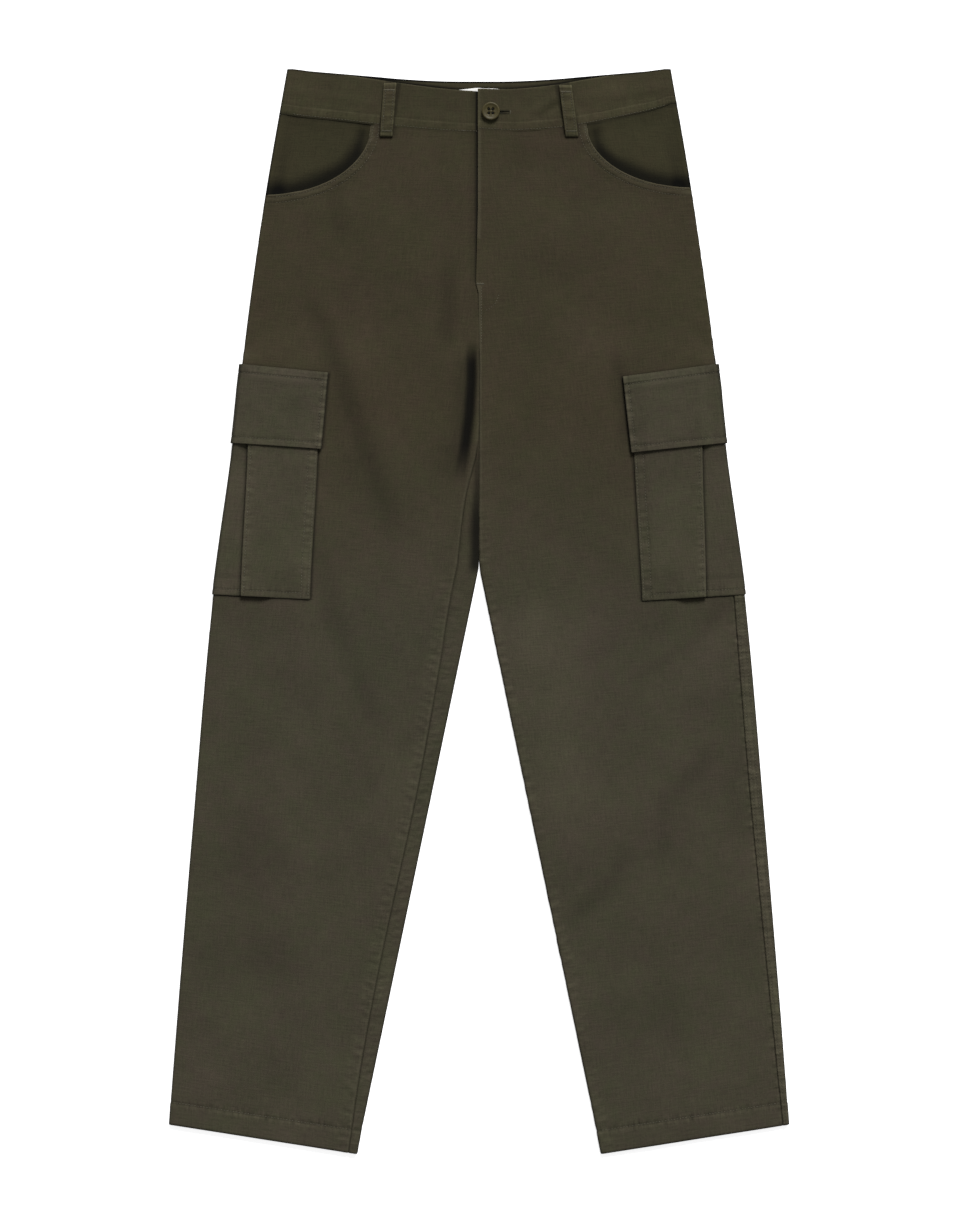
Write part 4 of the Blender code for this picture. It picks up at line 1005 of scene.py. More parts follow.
# ------------------------------------------------------------------ cargo pockets
# A patch pocket over each outseam, of the same twill, with one pleat folded in a flat Z near
# the side. It is edge-stitched at the fold, sewn twice along the inner edge and once at the foot.
pocket_twill = twill("garment_dyed_twill_pocket", "#3e3d2d", "#413b30", "#585443", 2.1)
PLEAT_DEPTH = 12.0
PLEAT_PITCH = 1.35
PLEAT_TURN = PLEAT_PITCH / 2
PLEAT_TOP = UNDERLAY_OUT + 2 * PLEAT_PITCH
POCKET_WALL = 1.0
POCKET_EDGE_STEPS = (0.0, 0.5, 1.2, 2.0, 2.9, 4.0, 5.4, 7.0, 8.2, 9.2, 10.4, 12.0, 14.0, 16.0)
POCKET_FOOT_UPS = (8.6, 7.4, 6.6, 6.0, 5.4, 4.6, 3.4, 2.2, 1.2, 0.5, 0.0)
POCKET_STITCHES = (2.0, 9.2)
PLEAT_STITCH = 2.6
FOOT_STITCH = 6.0
BACK_PARTS = (0.06, 0.2, 0.4, 0.6, 0.8, 0.94, 1.0)
ROLL_GIRTHS = [EDGE_RADIUS * QUARTER * (1.0 - step / 5) for step in range(11)]
pocket_fold = {LEFT: down_pocket(21.5, 23.0, 39.6), RIGHT: down_pocket(13.5, 15.0, 28.2)}


def pocket_reach(side, height):
    """Girths of the pocket's inner edge and of its pleat fold on a row."""
    shift = EDGE_RADIUS * ROLL_SLACK - HALF_WALL
    return pocket_inner[side](height) + shift, pocket_fold[side](height) + shift


def pocket_top(side, height, girth):
    """How far the pocket's outer layer stands out from the leg at a girth."""
    inner, fold = pocket_reach(side, height)
    rise = ease(girth, inner, inner - 16.0)
    near_fold = ease(girth, fold + PLEAT_DEPTH + 22.0, fold + PLEAT_DEPTH + 6.0)
    settle = blend(1.0, near_fold, ease(height, POCKET_FOOT + 34.0, POCKET_FOOT))
    return blend(UNDERLAY_OUT, PLEAT_TOP, rise * settle)


def pocket_section(side, height):
    """Girth, offset and kind of each point round the pocket, along one row."""
    inner, fold = pocket_reach(side, height)
    near = fold + 5.5
    face = [inner - step for step in POCKET_EDGE_STEPS]
    face += [blend(face[-1], near, part / 11) for part in range(1, 11)]
    face += [near, *(fold + step for step in (4.0, 2.9, 2.0, 1.3))]
    points = [(girth, pocket_top(side, height, girth), "face") for girth in face]
    for steps, middle, way, top in (
        (8, fold + PLEAT_TURN, -1, PLEAT_TOP),
        (6, fold + PLEAT_DEPTH - PLEAT_TURN, 1, UNDERLAY_OUT + PLEAT_PITCH),
    ):
        for step in range(steps + 1):
            angle = math.pi * step / steps
            out = top - PLEAT_TURN * (1.0 - math.cos(angle))
            points.append((middle + way * PLEAT_TURN * math.sin(angle), out, "fold"))
    beside = [fold + step for step in (1.0, -0.5, -1.5, -2.8, -4.5)]
    beside += [blend(fold - 4.5, 4.4, part / 5) for part in range(1, 6)]
    points += [(girth, UNDERLAY_OUT, "under") for girth in beside + ROLL_GIRTHS]
    points += [(-blend(ROLL_GIRTHS[0], inner, part), UNDERLAY_OUT, "back") for part in BACK_PARTS]
    return points


def pocket_relief(side, height, girth, kind):
    """Stand of the pocket's cloth and the marks of its stitched edges, puckers and foot."""
    inner, fold = pocket_reach(side, height)
    up = height - POCKET_FOOT
    from_inner_edge, from_fold = inner - girth, girth - fold
    seed = 20.0 + side
    out = -0.26 * ridge(up, FOOT_STITCH, 1.6) - 0.5 * fade(up, 1.2)
    out += 0.2 * pucker(girth, up - FOOT_STITCH, 9.0, 7.0, seed)
    wear = 0.5 * fade(up, 3.0)
    below = FLAP_FOOT - height
    shade = 0.2 * ridge(up, FOOT_STITCH, 1.4) + 0.5 * fade(up, 0.9) + dark_edge(girth)
    shade += 0.12 * ease(below, 12.0, 0.0) + 0.1 * ease(below, 4.0, 0.5)
    shade += 0.07 if side == LEFT else 0.0
    pull = 0.0
    if kind == "face":
        rungs = ladder(height, 9.4, seed) * ridge(from_inner_edge, 5.6, 6.0)
        stitched = ladder(height + 3.0, 9.0, seed + 9.0) * ease(from_fold, 8.0, 4.0)
        out += 0.2 * rungs + 0.17 * stitched
        grooves = sum(ridge(from_inner_edge, stitch, 1.5) for stitch in POCKET_STITCHES)
        out -= 0.26 * grooves + 0.22 * ridge(from_fold, PLEAT_STITCH, 1.5)
        out -= 0.45 * fade(from_inner_edge, 1.1)
        out += 0.5 * waver((outline(height) - girth) / 34.0, height / 46.0, seed)
        shade += 0.12 * grooves + 0.1 * ridge(from_fold, PLEAT_STITCH, 1.4)
        shade += 0.5 * fade(from_inner_edge, 0.9)
        wear += 0.35 * ridge(from_inner_edge, 1.5, 1.5) + 0.6 * max(0.0, rungs) + 0.6 * max(0.0, stitched)
        wear += 0.4 * ridge(from_fold, 0.8, 1.2)
        pull = 0.6 * max(ease(from_inner_edge, 13.0, 10.0), ease(from_fold, 8.0, 5.0))
    elif kind == "fold":
        wear += 0.3
        shade += 0.55 * ease(from_fold, 1.0, 2.5)
    elif kind == "under" and girth > 0.0:
        shade += 0.75 * ease(-from_fold, 4.2, 0.4)
        out -= 0.25 * ridge(up, 19.0, 2.0) * ease(girth, 0.0, 4.0)
        shade += 0.35 * ridge(up, 19.0, 1.8)
    return out, {"wear": wear, "shade": shade, "seam_pull": pull, "hem_pull": 0.6 * ridge(up, 5.0, 8.0)}


def build_pocket(side):
    """The grid of a pocket: columns round it from its inner edge to its back, rows down."""
    heights = [POCKET_MOUTH - 2.1 * n for n in range(98)]
    heights = [h for h in heights if h > POCKET_FOOT + 9.0] + [POCKET_FOOT + up for up in POCKET_FOOT_UPS]

    def place(column, row):
        height = heights[row]
        girth, out, kind = pocket_section(side, height)[column]
        stand, marks = pocket_relief(side, height, girth, kind)
        return from_outer(side, height, girth, out + stand), (girth, height), marks

    return len(pocket_section(side, POCKET_MOUTH)), len(heights), place


pockets = cloth_pair(
    "cargo_pocket", build_pocket, POCKET_WALL, pocket_twill,
)

# ------------------------------------------------------------------ cargo pocket flaps
# Each flap is two plies of twill, seamed along its top, where the turned edge makes a ridge,
# and topstitched along its sides and foot. It hangs free over the pocket's mouth.
FLAP_ROWS = [FLAP_TOP, 246.1, 245.3, 244.2, 243.0, 241.8, 240.8, 240.0, 239.4, 238.8, 238.0, 236.8]
FLAP_ROWS += [235.0 - 2.05 * n for n in range(29)]
FLAP_ROWS += [175.0, 174.2, 173.5, 172.8, 171.8, 170.6, 169.4, 168.6, 168.0, FLAP_FOOT]
FLAP_EDGE_STEPS = (0.0, 0.5, 1.3, 2.4, 3.6, 4.4, 5.0, 5.7, 7.0, 9.0, 12.0)
FLAP_SEAM_STITCH = 8.2
FLAP_SIDE_STITCH = 5.0
FLAP_FOOT_STITCH = 6.5


def flap_stand(side, height, girth):
    """Offset of the flap: on the leg at its seam, over the pocket below, ridged at the top."""
    own = HALF_WALL + SEAM_GAP + FLAP_CLOTH / 2
    if girth < EDGE_RADIUS * QUARTER:
        return UNDERLAY_OUT + own
    below = min(height, POCKET_MOUTH)
    fold = pocket_reach(side, below)[1]
    over = blend(UNDERLAY_OUT, pocket_top(side, below, girth), ease(girth, fold - 13.0, fold))
    seat = blend(UNDERLAY_OUT, 0.0, ease(girth, 3.0, 14.0))
    return own + blend(seat, over, ease(height, FLAP_TOP, POCKET_MOUTH))


def build_flap(side):
    """The grid of a flap: columns round the leg, rows from its seam to its foot."""
    def girths(height):
        """Girths of a row's columns, and the flap's reach over the front."""
        width = flap_width[side](height) + EDGE_RADIUS * 0.5
        face = [width - step for step in FLAP_EDGE_STEPS]
        face += [blend(width - 12.0, 5.0, part / 24) for part in range(1, 25)]
        return face + ROLL_GIRTHS + [-blend(ROLL_GIRTHS[0], width, part) for part in BACK_PARTS], width

    def place(column, row):
        height = FLAP_ROWS[row]
        line, width = girths(height)
        girth = line[column]
        out = flap_stand(side, height, girth)
        down, up, side_in = FLAP_TOP - height, height - FLAP_FOOT, width - girth
        seed = 33.0 + side
        bulk = 0.45 * ease(girth, 2.0, 12.0) * ease(down, 8.4, 6.6)
        edge = pucker(girth, up - FLAP_FOOT_STITCH, 10.0, 7.5, seed)
        out += (
            bulk - 0.35 * ridge(down, FLAP_SEAM_STITCH, 1.8) - 0.3 * ridge(up, FLAP_FOOT_STITCH, 1.6)
            + 0.2 * edge
        )
        wear = 0.45 * ridge(down, 1.4, 1.8) * ease(girth, 0.0, 4.0) + 0.25 * ridge(up, 3.0, 3.0)
        shade = 0.3 * ridge(down, 8.4, 1.6) + 0.2 * ridge(up, FLAP_FOOT_STITCH, 1.5)
        shade += 0.5 * fade(up, 1.0)
        shade += dark_edge(girth) + 0.14 * ease(down, 22.0, 12.0) + (0.05 if side == LEFT else 0.0)
        pull = 0.0
        if girth > 0.0:
            rungs = ladder(height, 9.0, seed) * ease(side_in, 8.0, 5.0)
            out += 0.18 * rungs - 0.3 * ridge(side_in, FLAP_SIDE_STITCH, 1.5)
            out += 0.5 * waver(girth / 30.0, height / 26.0, seed)
            out += 0.6 * ease(up, 22.0, 2.0) * ease(side_in, 50.0, 8.0)
            wear += 0.5 * ridge(side_in, 1.8, 1.8) + 0.4 * max(0.0, rungs)
            shade += 0.2 * ridge(side_in, FLAP_SIDE_STITCH, 1.4) + 0.75 * fade(side_in, 1.1)
            pull = ease(side_in, 8.0, 6.0)
        gathers = 0.6 * max(ridge(down, 6.0, 6.0), ridge(up, 5.0, 7.0))
        marks = {"wear": wear, "shade": shade, "seam_pull": pull, "hem_pull": gathers}
        return from_outer(side, height, girth, out), (girth, height), marks

    return len(girths(FLAP_TOP)[0]), len(FLAP_ROWS), place


flaps = cloth_pair(
    "cargo_flap", build_flap, FLAP_CLOTH, pocket_twill,
    rim=0.45,
)

# ------------------------------------------------------------------ waistband
# A band 40 mm deep, of two plies of twill with stiffening, folded at its top edge. The left
# front laps over the right with the buttonhole; the back's inner face shows above the front.
band_twill = twill("garment_dyed_twill_band", "#383624", "#3b3426", "#504c38", 3.4)
TOP_STATIONS = (0.0, 38.0, 81.0, 108.0, 141.0, 174.0, 192.0)
band_top = {key: curve(*zip(TOP_STATIONS, heights)) for key, heights in {
    (UPPER, LEFT): (521.8, 521.6, 526.4, 531.0, 536.0, 539.4, 541.9),
    (UPPER, RIGHT): (519.3, 522.4, 527.7, 531.6, 536.2, 539.4, 541.9),
    (LOWER, LEFT): (530.0, 530.3, 532.5, 534.8, 537.5, 540.2, 541.9),
    (LOWER, RIGHT): (530.0, 530.3, 532.5, 534.8, 537.5, 540.2, 541.9),
}.items()}
BAND_TAPER = 0.04
BUTTON_X, BUTTON_Y = 11.8, 499.0
SLIT_Y, SLIT_START, SLIT_END = 498.4, 18.5, 30.5
BAND_PARTS = [0.0, 0.012, 0.03, 0.06, 0.09, 0.12, 0.15, 0.18, 0.205, 0.23, 0.26, 0.3, 0.345, 0.38, 0.4]
BAND_PARTS += [0.412, 0.422, 0.431, 0.44, 0.449, 0.458, 0.468, 0.48, 0.5, 0.54, 0.58, 0.63, 0.68, 0.73]
BAND_PARTS += [0.78, 0.83, 0.88, 0.92, 0.95, 0.97, 0.985, 0.995, 1.0]
BACK_BAND_PARTS = [part for part in BAND_PARTS if not 0.4 < part < 0.5 and part < 0.7]
BACK_BAND_PARTS += [0.7 + 0.02 * n for n in range(14)] + [0.973, 0.986, 0.995, 1.0]
BAND_SIDE_GIRTHS = (-5.97, -5.6, -5.0, -4.2, -3.2, -2.4, -1.6, -0.8, 0.0, 0.8, 1.6, 2.4, 3.2, 4.4, 6.0)
BACK_SIDE_GIRTHS = (-5.97, -5.0, -4.0, -3.0)
# Columns of the front band, out from the centre: the shared ones, then each side's own.
BAND_COLUMNS = [183.0 - 3.4 * n for n in range(24)] + [102.5 - 1.05 * n for n in range(25)]
BAND_COLUMNS += [76.0 - 3.3 * n for n in range(14)]
LAP_COLUMNS = {
    LEFT: [
        32.0, 31.4, 30.9, 30.4, 29.8, 29.0, 27.0, 25.0, 23.0, 21.0, 19.4, 18.7, 18.1, 17.0,
        15.0, 12.0, 9.0, 6.0, 4.0, 2.6, 1.4, 0.4, -0.3, -0.8, -1.0,
    ],
    RIGHT: [
        *(30.0 - 4.0 * n for n in range(6)), 7.0, 5.4, 4.2, 3.2, 2.2, 1.2, 0.0,
        *(-3.0 - 4.0 * n for n in range(9)), -37.5, -39.3, -UNDERLAP_END,
    ],
}
# Creases of the front band: half width, rise and the line that each follows.
BAND_CREASES = [
    (7.0, 0.8, [(58.0, 500.0), (78.0, 513.0)]),
    (6.0, -0.6, [(60.0, 492.0), (78.0, 505.0)]),
    (9.0, 0.4, [(106.0, 512.0), (190.0, 524.0)]),
    (8.0, 0.4, [(-190.0, 520.0), (-110.0, 508.0)]),
    (9.0, -0.35, [(-60.0, 505.0), (-20.0, 498.0)]),
    (8.0, -0.35, [(120.0, 500.0), (180.0, 514.0)]),
]


def band_side(side, layer, part, girth):
    """A point on the waistband's rolled side, by girth from the side edge."""
    y = blend(waist_seam[layer, side](SIDE_END), band_top[layer, side](SIDE_END), part)
    turn = max(-QUARTER, min(QUARTER, girth / BAND_RADIUS))
    inset = BAND_RADIUS * (1.0 - math.cos(turn)) + max(0.0, abs(girth) - BAND_RADIUS * QUARTER)
    x = outline(y) - BAND_CLOTH / 2 - inset
    return side * x, y, BAND_CLOTH / 2 + BAND_RADIUS * (1.0 + math.sin(turn))


def band_relief(part, x, y):
    """Stand of the front band and its marks: the pressed seam, soft creases and the folded top."""
    wave = pucker(x, part * 40.0 - 8.0, 14.0, 9.0, 61.0)
    uneven = 0.6 + waver(x / 28.0, 3.0, 1.0)
    stand = 0.2 * ease(part, 0.25, 0.2) - 0.2 * ridge(part, 0.23, 0.035)
    stand -= 0.55 * fade(part, 0.07) + 0.25 * fade(1.0 - part, 0.02)
    stand += 0.22 * wave + 0.35 * waver(x / 34.0, y / 22.0, 7.0)
    wear = 0.35 * max(0.0, wave) + 0.5 * max(0.0, uneven) * ridge(part, 0.2, 0.03)
    shade = 0.35 * max(0.0, 1.1 - uneven) * ridge(part, 0.235, 0.025)
    shade += 0.09 * ease(abs(x), 125.0, 95.0) + 0.08 * part
    lapped = ease(abs(x), 152.0, 128.0)
    wear += 0.7 * lapped * fade(1.0 - part, 0.035)
    shade += (1.0 - lapped) * 0.85 * ease(part, 0.962, 0.982)
    shade += 0.7 * ease(abs(x), 95.0, 112.0) * fade(part, 0.06)
    for half_width, rise, line in BAND_CREASES:
        stand += rise * fade(abs(along_line(line, x, y)[1]), half_width)
    shade += beside_loop(x, y)
    return stand, {"wear": wear, "shade": shade, "hem_pull": 0.4 * ridge(part, 0.12, 0.16)}


def build_band_front(side):
    """The grid of a front band: columns from its rolled side to its end, rows up."""
    across = BAND_COLUMNS + LAP_COLUMNS[side]

    def place(column, row):
        part = BAND_PARTS[row]
        if column < len(BAND_SIDE_GIRTHS):
            girth = BAND_SIDE_GIRTHS[column]
            x, y, z = band_side(side, UPPER, part, girth)
            stand, marks = band_relief(part, x, y)
            top_side = smooth(girth / 2.4)
            marks["wear"] *= top_side
            marks["shade"] += dark_edge(girth)
            return (x, y, z + stand * top_side), (SIDE_END - girth, y), marks
        x = across[column - len(BAND_SIDE_GIRTHS)]
        key = UPPER, side if x > -5.0 else LEFT
        y = blend(waist_seam[key](abs(x)), band_top[key](abs(x)), part)
        stand, marks = band_relief(part, side * x, y)
        if side == LEFT:
            # a painted highlight along the lapped edge of the left band
            marks["wear"] += 0.8 * ease(x, 2.2, 0.4)
            stand -= 0.3 * fade(x + 1.0, 0.8)
            # the buttonhole: a slit between two raised lips
            off = abs(y - SLIT_Y)
            slit = ease(x, SLIT_START - 0.6, SLIT_START) * ease(x, SLIT_END + 0.6, SLIT_END)
            hollow = slit * fade(off, 1.0)
            stand += 0.2 * slit * ridge(off, 1.5, 1.0) - 1.3 * hollow
            faded = blend(1.0, 0.3, ease(x, SLIT_START + 3.0, SLIT_END))
            marks["shade"] += faded * (1.2 * hollow + 0.8 * slit * smooth(1.3 - off / 2.1))
        else:
            stand *= ease(x, -2.0, 4.0)
            marks["shade"] += fly_shade(-x)
        return (side * x * (1.0 - BAND_TAPER * part), y, band_level(side, x) + stand), (x, y), marks

    return len(BAND_SIDE_GIRTHS) + len(across), len(BAND_PARTS), place


def build_band_back():
    """The grid of the back band: columns from side to side, rows up."""
    rolled = len(BACK_SIDE_GIRTHS)
    across = [x for x in (188.0 - 3.4 * n for n in range(56)) if x > 1.0]
    count = rolled + len(across)

    def place(column, row):
        part = BACK_BAND_PARTS[row]
        side, index = (LEFT, column) if column <= count else (RIGHT, 2 * count - column)
        if index < rolled:
            girth = BACK_SIDE_GIRTHS[index]
            point = band_side(side, LOWER, part, girth - 0.06)
            return point, (side * (SIDE_END - girth), point[1]), {"shade": 0.7 * ease(part, 0.96, 0.98)}
        x = across[index - rolled] if index < count else 0.0
        y = blend(waist_seam[LOWER, side](x), band_top[LOWER, side](x), part)
        shade = 0.95 * ridge(y - band_top[UPPER, side](x), 0.8, 3.8) + 0.95 * ease(part, 0.945, 0.975)
        marks = {"wear": 0.3 * ridge(part, 0.93, 0.05), "shade": shade + 0.16 * ease(part, 0.6, 0.75)}
        return (side * x * (1.0 - BAND_TAPER * part), y, BAND_CLOTH / 2), (side * x, y), marks

    return 2 * count + 1, len(BACK_BAND_PARTS), place


bands = cloth_pair(
    "waistband_front", build_band_front, BAND_CLOTH, band_twill,
    rim=0.6,
)
cloth(
    "waistband_back_cloth", "waistband_back", build_band_back(), BAND_CLOTH, band_twill,
    rim=0.6,
)

# ------------------------------------------------------------------ belt loops
# Two front belt loops: strips of twill folded in three, turned under at both ends and
# bartacked over the waistband, so that each arches a little off it.
LOOP_WALL = 1.6
LOOP_ROWS = [0.0, 0.01, 0.03, 0.06, 0.09, 0.12, 0.15, 0.18, 0.22] + [0.27 + 0.05 * n for n in range(11)]
LOOP_ROWS += [0.81, 0.84, 0.87, 0.9, 0.93, 0.96, 0.98, 0.99, 1.0]
LOOP_HALF = (0.5, 0.47, 0.42, 0.36, 0.3, 0.24, 0.15, 0.05)
LOOP_COLUMNS = [-across for across in LOOP_HALF] + [*reversed(LOOP_HALF)]


def on_loop(side, part, over):
    """Plan point on a belt loop, by its share of the way down and its distance across."""
    top_x, top_y, foot_x, foot_y = LOOPS[side]
    return blend(top_x, foot_x, part) + over, blend(top_y, foot_y, part)


def build_loop(side):
    """The grid of a belt loop: columns across it, rows down."""
    def place(column, row):
        part, over = LOOP_ROWS[row], LOOP_COLUMNS[column]
        off = abs(over)
        x, y = on_loop(side, part, LOOP_WIDTH * over)
        seat = band_level(side, side * x) + BAND_CLOTH / 2
        arch = 1.25 * math.sin(math.pi * part) ** 0.7 - 0.45 * ease(part, 0.86, 0.97)
        z = seat + SEAM_GAP + LOOP_WALL / 2 + arch
        z -= 0.35 * (ridge(part, 0.13, 0.03) + ridge(part, 0.9, 0.03))
        z -= 0.3 * ridge(off, 0.32, 0.07) + 0.6 * smooth((off - 0.43) / 0.07)
        z -= 0.5 * (fade(part, 0.02) + fade(1.0 - part, 0.02))
        z += 0.3 * waver(x / 5.0, y / 7.0, 2.0)
        wear = 0.75 * ridge(off, 0.43, 0.05) + 0.6 * (ridge(part, 0.03, 0.04) + ridge(part, 0.965, 0.035))
        shade = 0.5 * (ridge(part, 0.14, 0.02) + ridge(part, 0.89, 0.02)) + 0.35 * ridge(off, 0.33, 0.06)
        shade += 0.9 * smooth((off - 0.455) / 0.04) + 0.8 * smooth((part - 0.985) / 0.012)
        return (x, y, z), (x, y), {"wear": wear, "shade": shade, "seam_pull": 1.0}

    return len(LOOP_COLUMNS), len(LOOP_ROWS), place


loops = cloth_pair(
    "belt_loop", build_loop, LOOP_WALL, band_twill,
    rim=0.5,
)

# ------------------------------------------------------------------ label
# A blank white woven label, sewn flat inside the back waistband.
LABEL_CENTRE = (1.0, 511.3)
LABEL_SIZE = (50.0, 24.6)


def two_tone(name, settings, low, high, kind, pattern, relief=0.0):
    """A finish in two close tones that follow a pattern, which may also stand in low relief."""
    material, tree, shader = new_material(name, settings)
    marks = add(tree, kind, add(tree, "TexCoord", give="Object"), give="Fac", **pattern)
    tones = add(tree, "Mix", marks, linear(low), linear(high), data_type="RGBA")
    tree.links.new(tones, shader.inputs["Base Color"])
    if relief:
        bump = add(tree, "Bump", Strength=relief, Distance=0.0001, Height=marks)
        tree.links.new(bump, shader.inputs["Normal"])
    return material


# White polyester satin weave: a slight sheen and a fine even rib.
satin = two_tone(
    "woven_polyester_label", {"Roughness": 0.55, "Sheen Weight": 0.1}, "#dddcd8", "#f0efec",
    "TexWave", {"Scale": 500.0, "Distortion": 0.4}, 0.3,
)


def label_point(column, row):
    """Point, place in the cut and marks of the label, a little bowed along its edges."""
    across, up = column / 24 - 0.5, 0.5 - row / 12
    x = LABEL_CENTRE[0] + LABEL_SIZE[0] * across
    bow = 2.1 * ease(x, 2.0, -24.0) + 0.65 * ease(x, -1.0, 5.0) + 0.6 * ease(x, 12.0, 25.0)
    y = LABEL_CENTRE[1] + LABEL_SIZE[1] * up - bow
    z = BAND_CLOTH + 0.45 + 0.35 * ridge(across, 0.15, 0.3) * ease(up, -0.2, 0.5)
    return (x, y, z), (x, y), {}


cloth(
    "woven_label", "label", (25, 13, label_point), 0.4, satin,
    rim=0.12,
)

# ------------------------------------------------------------------ fly zip
# The closed zip under the fly: a woven tape with a nylon coil down its middle, all inside the
# lapped fronts.
# Olive polyester tape: a fine even weave, a little smoother than the twill.
zip_tape = twill("woven_zip_tape", "#333023", "#353124", "#403c2c", 5.0)
ZIP_TOP, ZIP_FOOT, ZIP_LEVEL = 470.0, 338.0, 2.75
ZIP_COLUMNS = (-8.0, -4.0, 0.0, 4.0, 7.0, 8.0, 9.8, 10.8, 14.0, 18.0)


def zip_point(column, row):
    """Point, place in the cut and marks of the flat zip."""
    x, y = ZIP_COLUMNS[column], blend(ZIP_TOP, ZIP_FOOT, row / 40)
    return (x, y, ZIP_LEVEL), (x, y), {}


cloth(
    "zip_tape", "fly_zip", (len(ZIP_COLUMNS), 41, zip_point), 0.6, zip_tape,
    rim=0.0,
)

# ------------------------------------------------------------------ button
# A four-hole resin button, turned with a raised rim and a dished face, on a thread shank.
# Matt khaki urea resin: slightly mottled through its body, with a soft gloss on the rim.
resin = two_tone(
    "turned_urea_resin", {"Roughness": 0.55, "Specular IOR Level": 0.3}, "#2c270f", "#433b18",
    "TexNoise", {"Scale": 260.0, "Detail": 4.0, "Distortion": 1.2}, 0.2,
)
BUTTON_SEAT = OVERLAP_MID + BAND_CLOTH / 2 + 0.3
BUTTON_FACE = BUTTON_SEAT + 3.2
HOLE_SPACING = 3.85
HOLE_RADIUS = 1.5
# The button's outline from the middle of its back, radius and height: its back, then its face.
BUTTON_BACK = ((0.0, 0.0), (6.6, 0.0), (7.6, 0.25), (8.5, 1.0), (8.9, 1.8))
BUTTON_FRONT = (
    (9.0, 1.0), (8.85, 0.45), (8.4, 0.1), (7.9, 0.0), (7.4, 0.08), (6.9, 0.28), (6.3, 0.52), (5.4, 0.66),
    (3.5, 0.73), (0.0, 0.78),
)


def add_cone(bm, place, low, high, depth, segments):
    """Adds an upright cone or cylinder, with its sizes in mm, about a place."""
    bmesh.ops.create_cone(
        bm, cap_ends=True, segments=segments, radius1=low * MM, radius2=high * MM, depth=depth * MM,
        matrix=Matrix.Translation(Vector(place) * MM),
    )


def build_button():
    """The button's profile spun round its axis, with four holes cut through its face."""
    profile = [(x, BUTTON_SEAT + up) for x, up in BUTTON_BACK]
    profile += [(x, BUTTON_FACE - down) for x, down in BUTTON_FRONT]
    bm = bmesh.new()
    points = [bm.verts.new((x, 0.0, z)) for x, z in profile]
    lines = [bm.edges.new(pair) for pair in zip(points, points[1:])]
    bmesh.ops.spin(
        bm, geom=points + lines, cent=(0.0, 0.0, 0.0), axis=(0.0, 0.0, 1.0), angle=math.tau, steps=64,
        use_merge=True,
    )
    bmesh.ops.remove_doubles(bm, verts=bm.verts, dist=0.001)
    bmesh.ops.recalc_face_normals(bm, faces=bm.faces)
    bmesh.ops.translate(bm, verts=bm.verts, vec=(BUTTON_X, BUTTON_Y, 0.0))
    bmesh.ops.scale(bm, verts=bm.verts, vec=(MM, MM, MM))
    button = place_in_scene("resin_button", bm)
    drill = bmesh.new()
    for across in (-0.5, 0.5):
        for up in (-0.5, 0.5):
            place = (BUTTON_X + across * HOLE_SPACING, BUTTON_Y + up * HOLE_SPACING, BUTTON_SEAT + 1.5)
            add_cone(drill, place, HOLE_RADIUS, HOLE_RADIUS, 6.0, 20)
    drill_piece = place_in_scene("drill", drill, smooth=False)
    holes = button.modifiers.new("holes", "BOOLEAN")
    holes.object = drill_piece
    shaped = button.evaluated_get(bpy.context.evaluated_depsgraph_get())
    button_mesh = bpy.data.meshes.new_from_object(shaped)
    button.modifiers.clear()
    button.data = button_mesh
    button_mesh.materials.append(resin)
    bpy.data.objects.remove(drill_piece, do_unlink=True)
    return button


button = build_button()
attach(button, "root")
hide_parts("button")

# ------------------------------------------------------------------ sewing thread
# Everything is sewn with one core-spun polyester thread that took the dye a shade paler. Each
# stitch is a small spindle on the cloth; a real one is 0.3 mm thick, too fine to show, and it
# is drawn 0.4 mm thick.
thread = two_tone(
    "core_spun_polyester_thread", {"Roughness": 0.7, "Sheen Weight": 0.1}, "#403c2d", "#56513d",
    "TexNoise", {"Scale": 300.0, "Detail": 2.0},
)
# The buttonhole's lips and the button are sewn with a thicker waxed twist, coloured near black so that it
# also gives the buttonhole's slit and the button's holes painted shade.
twist_and_hole_shade = two_tone(
    "waxed_twist_and_painted_hole_shade", {"Roughness": 0.75, "Specular IOR Level": 0.2}, "#0d0c07", "#1b1910",
    "TexNoise", {"Scale": 500.0, "Detail": 2.0},
)
RAY_START = 0.06
HEM_SEW_HEIGHT = HEM_HEIGHT + STITCH_HEIGHT
BARTACK_TURN = 1.45


def walk(line, pitch):
    """Even places along a line of plan points, each with the line's direction there."""
    places = []
    left = pitch / 2
    for start, end in zip(line, line[1:]):
        run = Vector(end) - Vector(start)
        length = run.length
        if length < 1e-6:
            continue
        while left <= length:
            places.append((Vector(start) + run * (left / length), run / length))
            left += pitch
        left -= length
    return places


def sew(name, piece, lines, pitch=3.0, length=2.6, radius=0.24, turn=0.0, facing=UPPER, yarn=thread):
    """Stitches laid on a piece of cloth along lines drawn in plan, turned from the line."""
    ground = BVHTree.FromObject(piece, bpy.context.evaluated_depsgraph_get())
    bm = bmesh.new()
    for line in lines:
        row = bmesh.new()
        for place, along in walk(line, pitch):
            start = Vector((*place * MM, facing * RAY_START))
            hit, normal, _, _ = ground.ray_cast(start, (0.0, 0.0, -facing))
            if hit is None:
                continue
            lie = Vector((*(Matrix.Rotation(turn, 2) @ along), 0.0))
            lie = (lie - normal * lie.dot(normal)).normalized()
            turned = Matrix((lie, normal.cross(lie), normal)).transposed().to_4x4()
            size = Matrix.Diagonal((length / 2 * MM, radius * MM, radius * 0.8 * MM, 1.0))
            centre = Matrix.Translation(hit + normal * radius * 0.3 * MM)
            bmesh.ops.create_icosphere(row, subdivisions=1, radius=1.0, matrix=centre @ turned @ size)
        joined = bpy.data.meshes.new("row")
        row.to_mesh(joined)
        row.free()
        bm.from_mesh(joined)
        bpy.data.meshes.remove(joined)
    stitches = place_in_scene(name, bm, yarn)
    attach(stitches, "root")


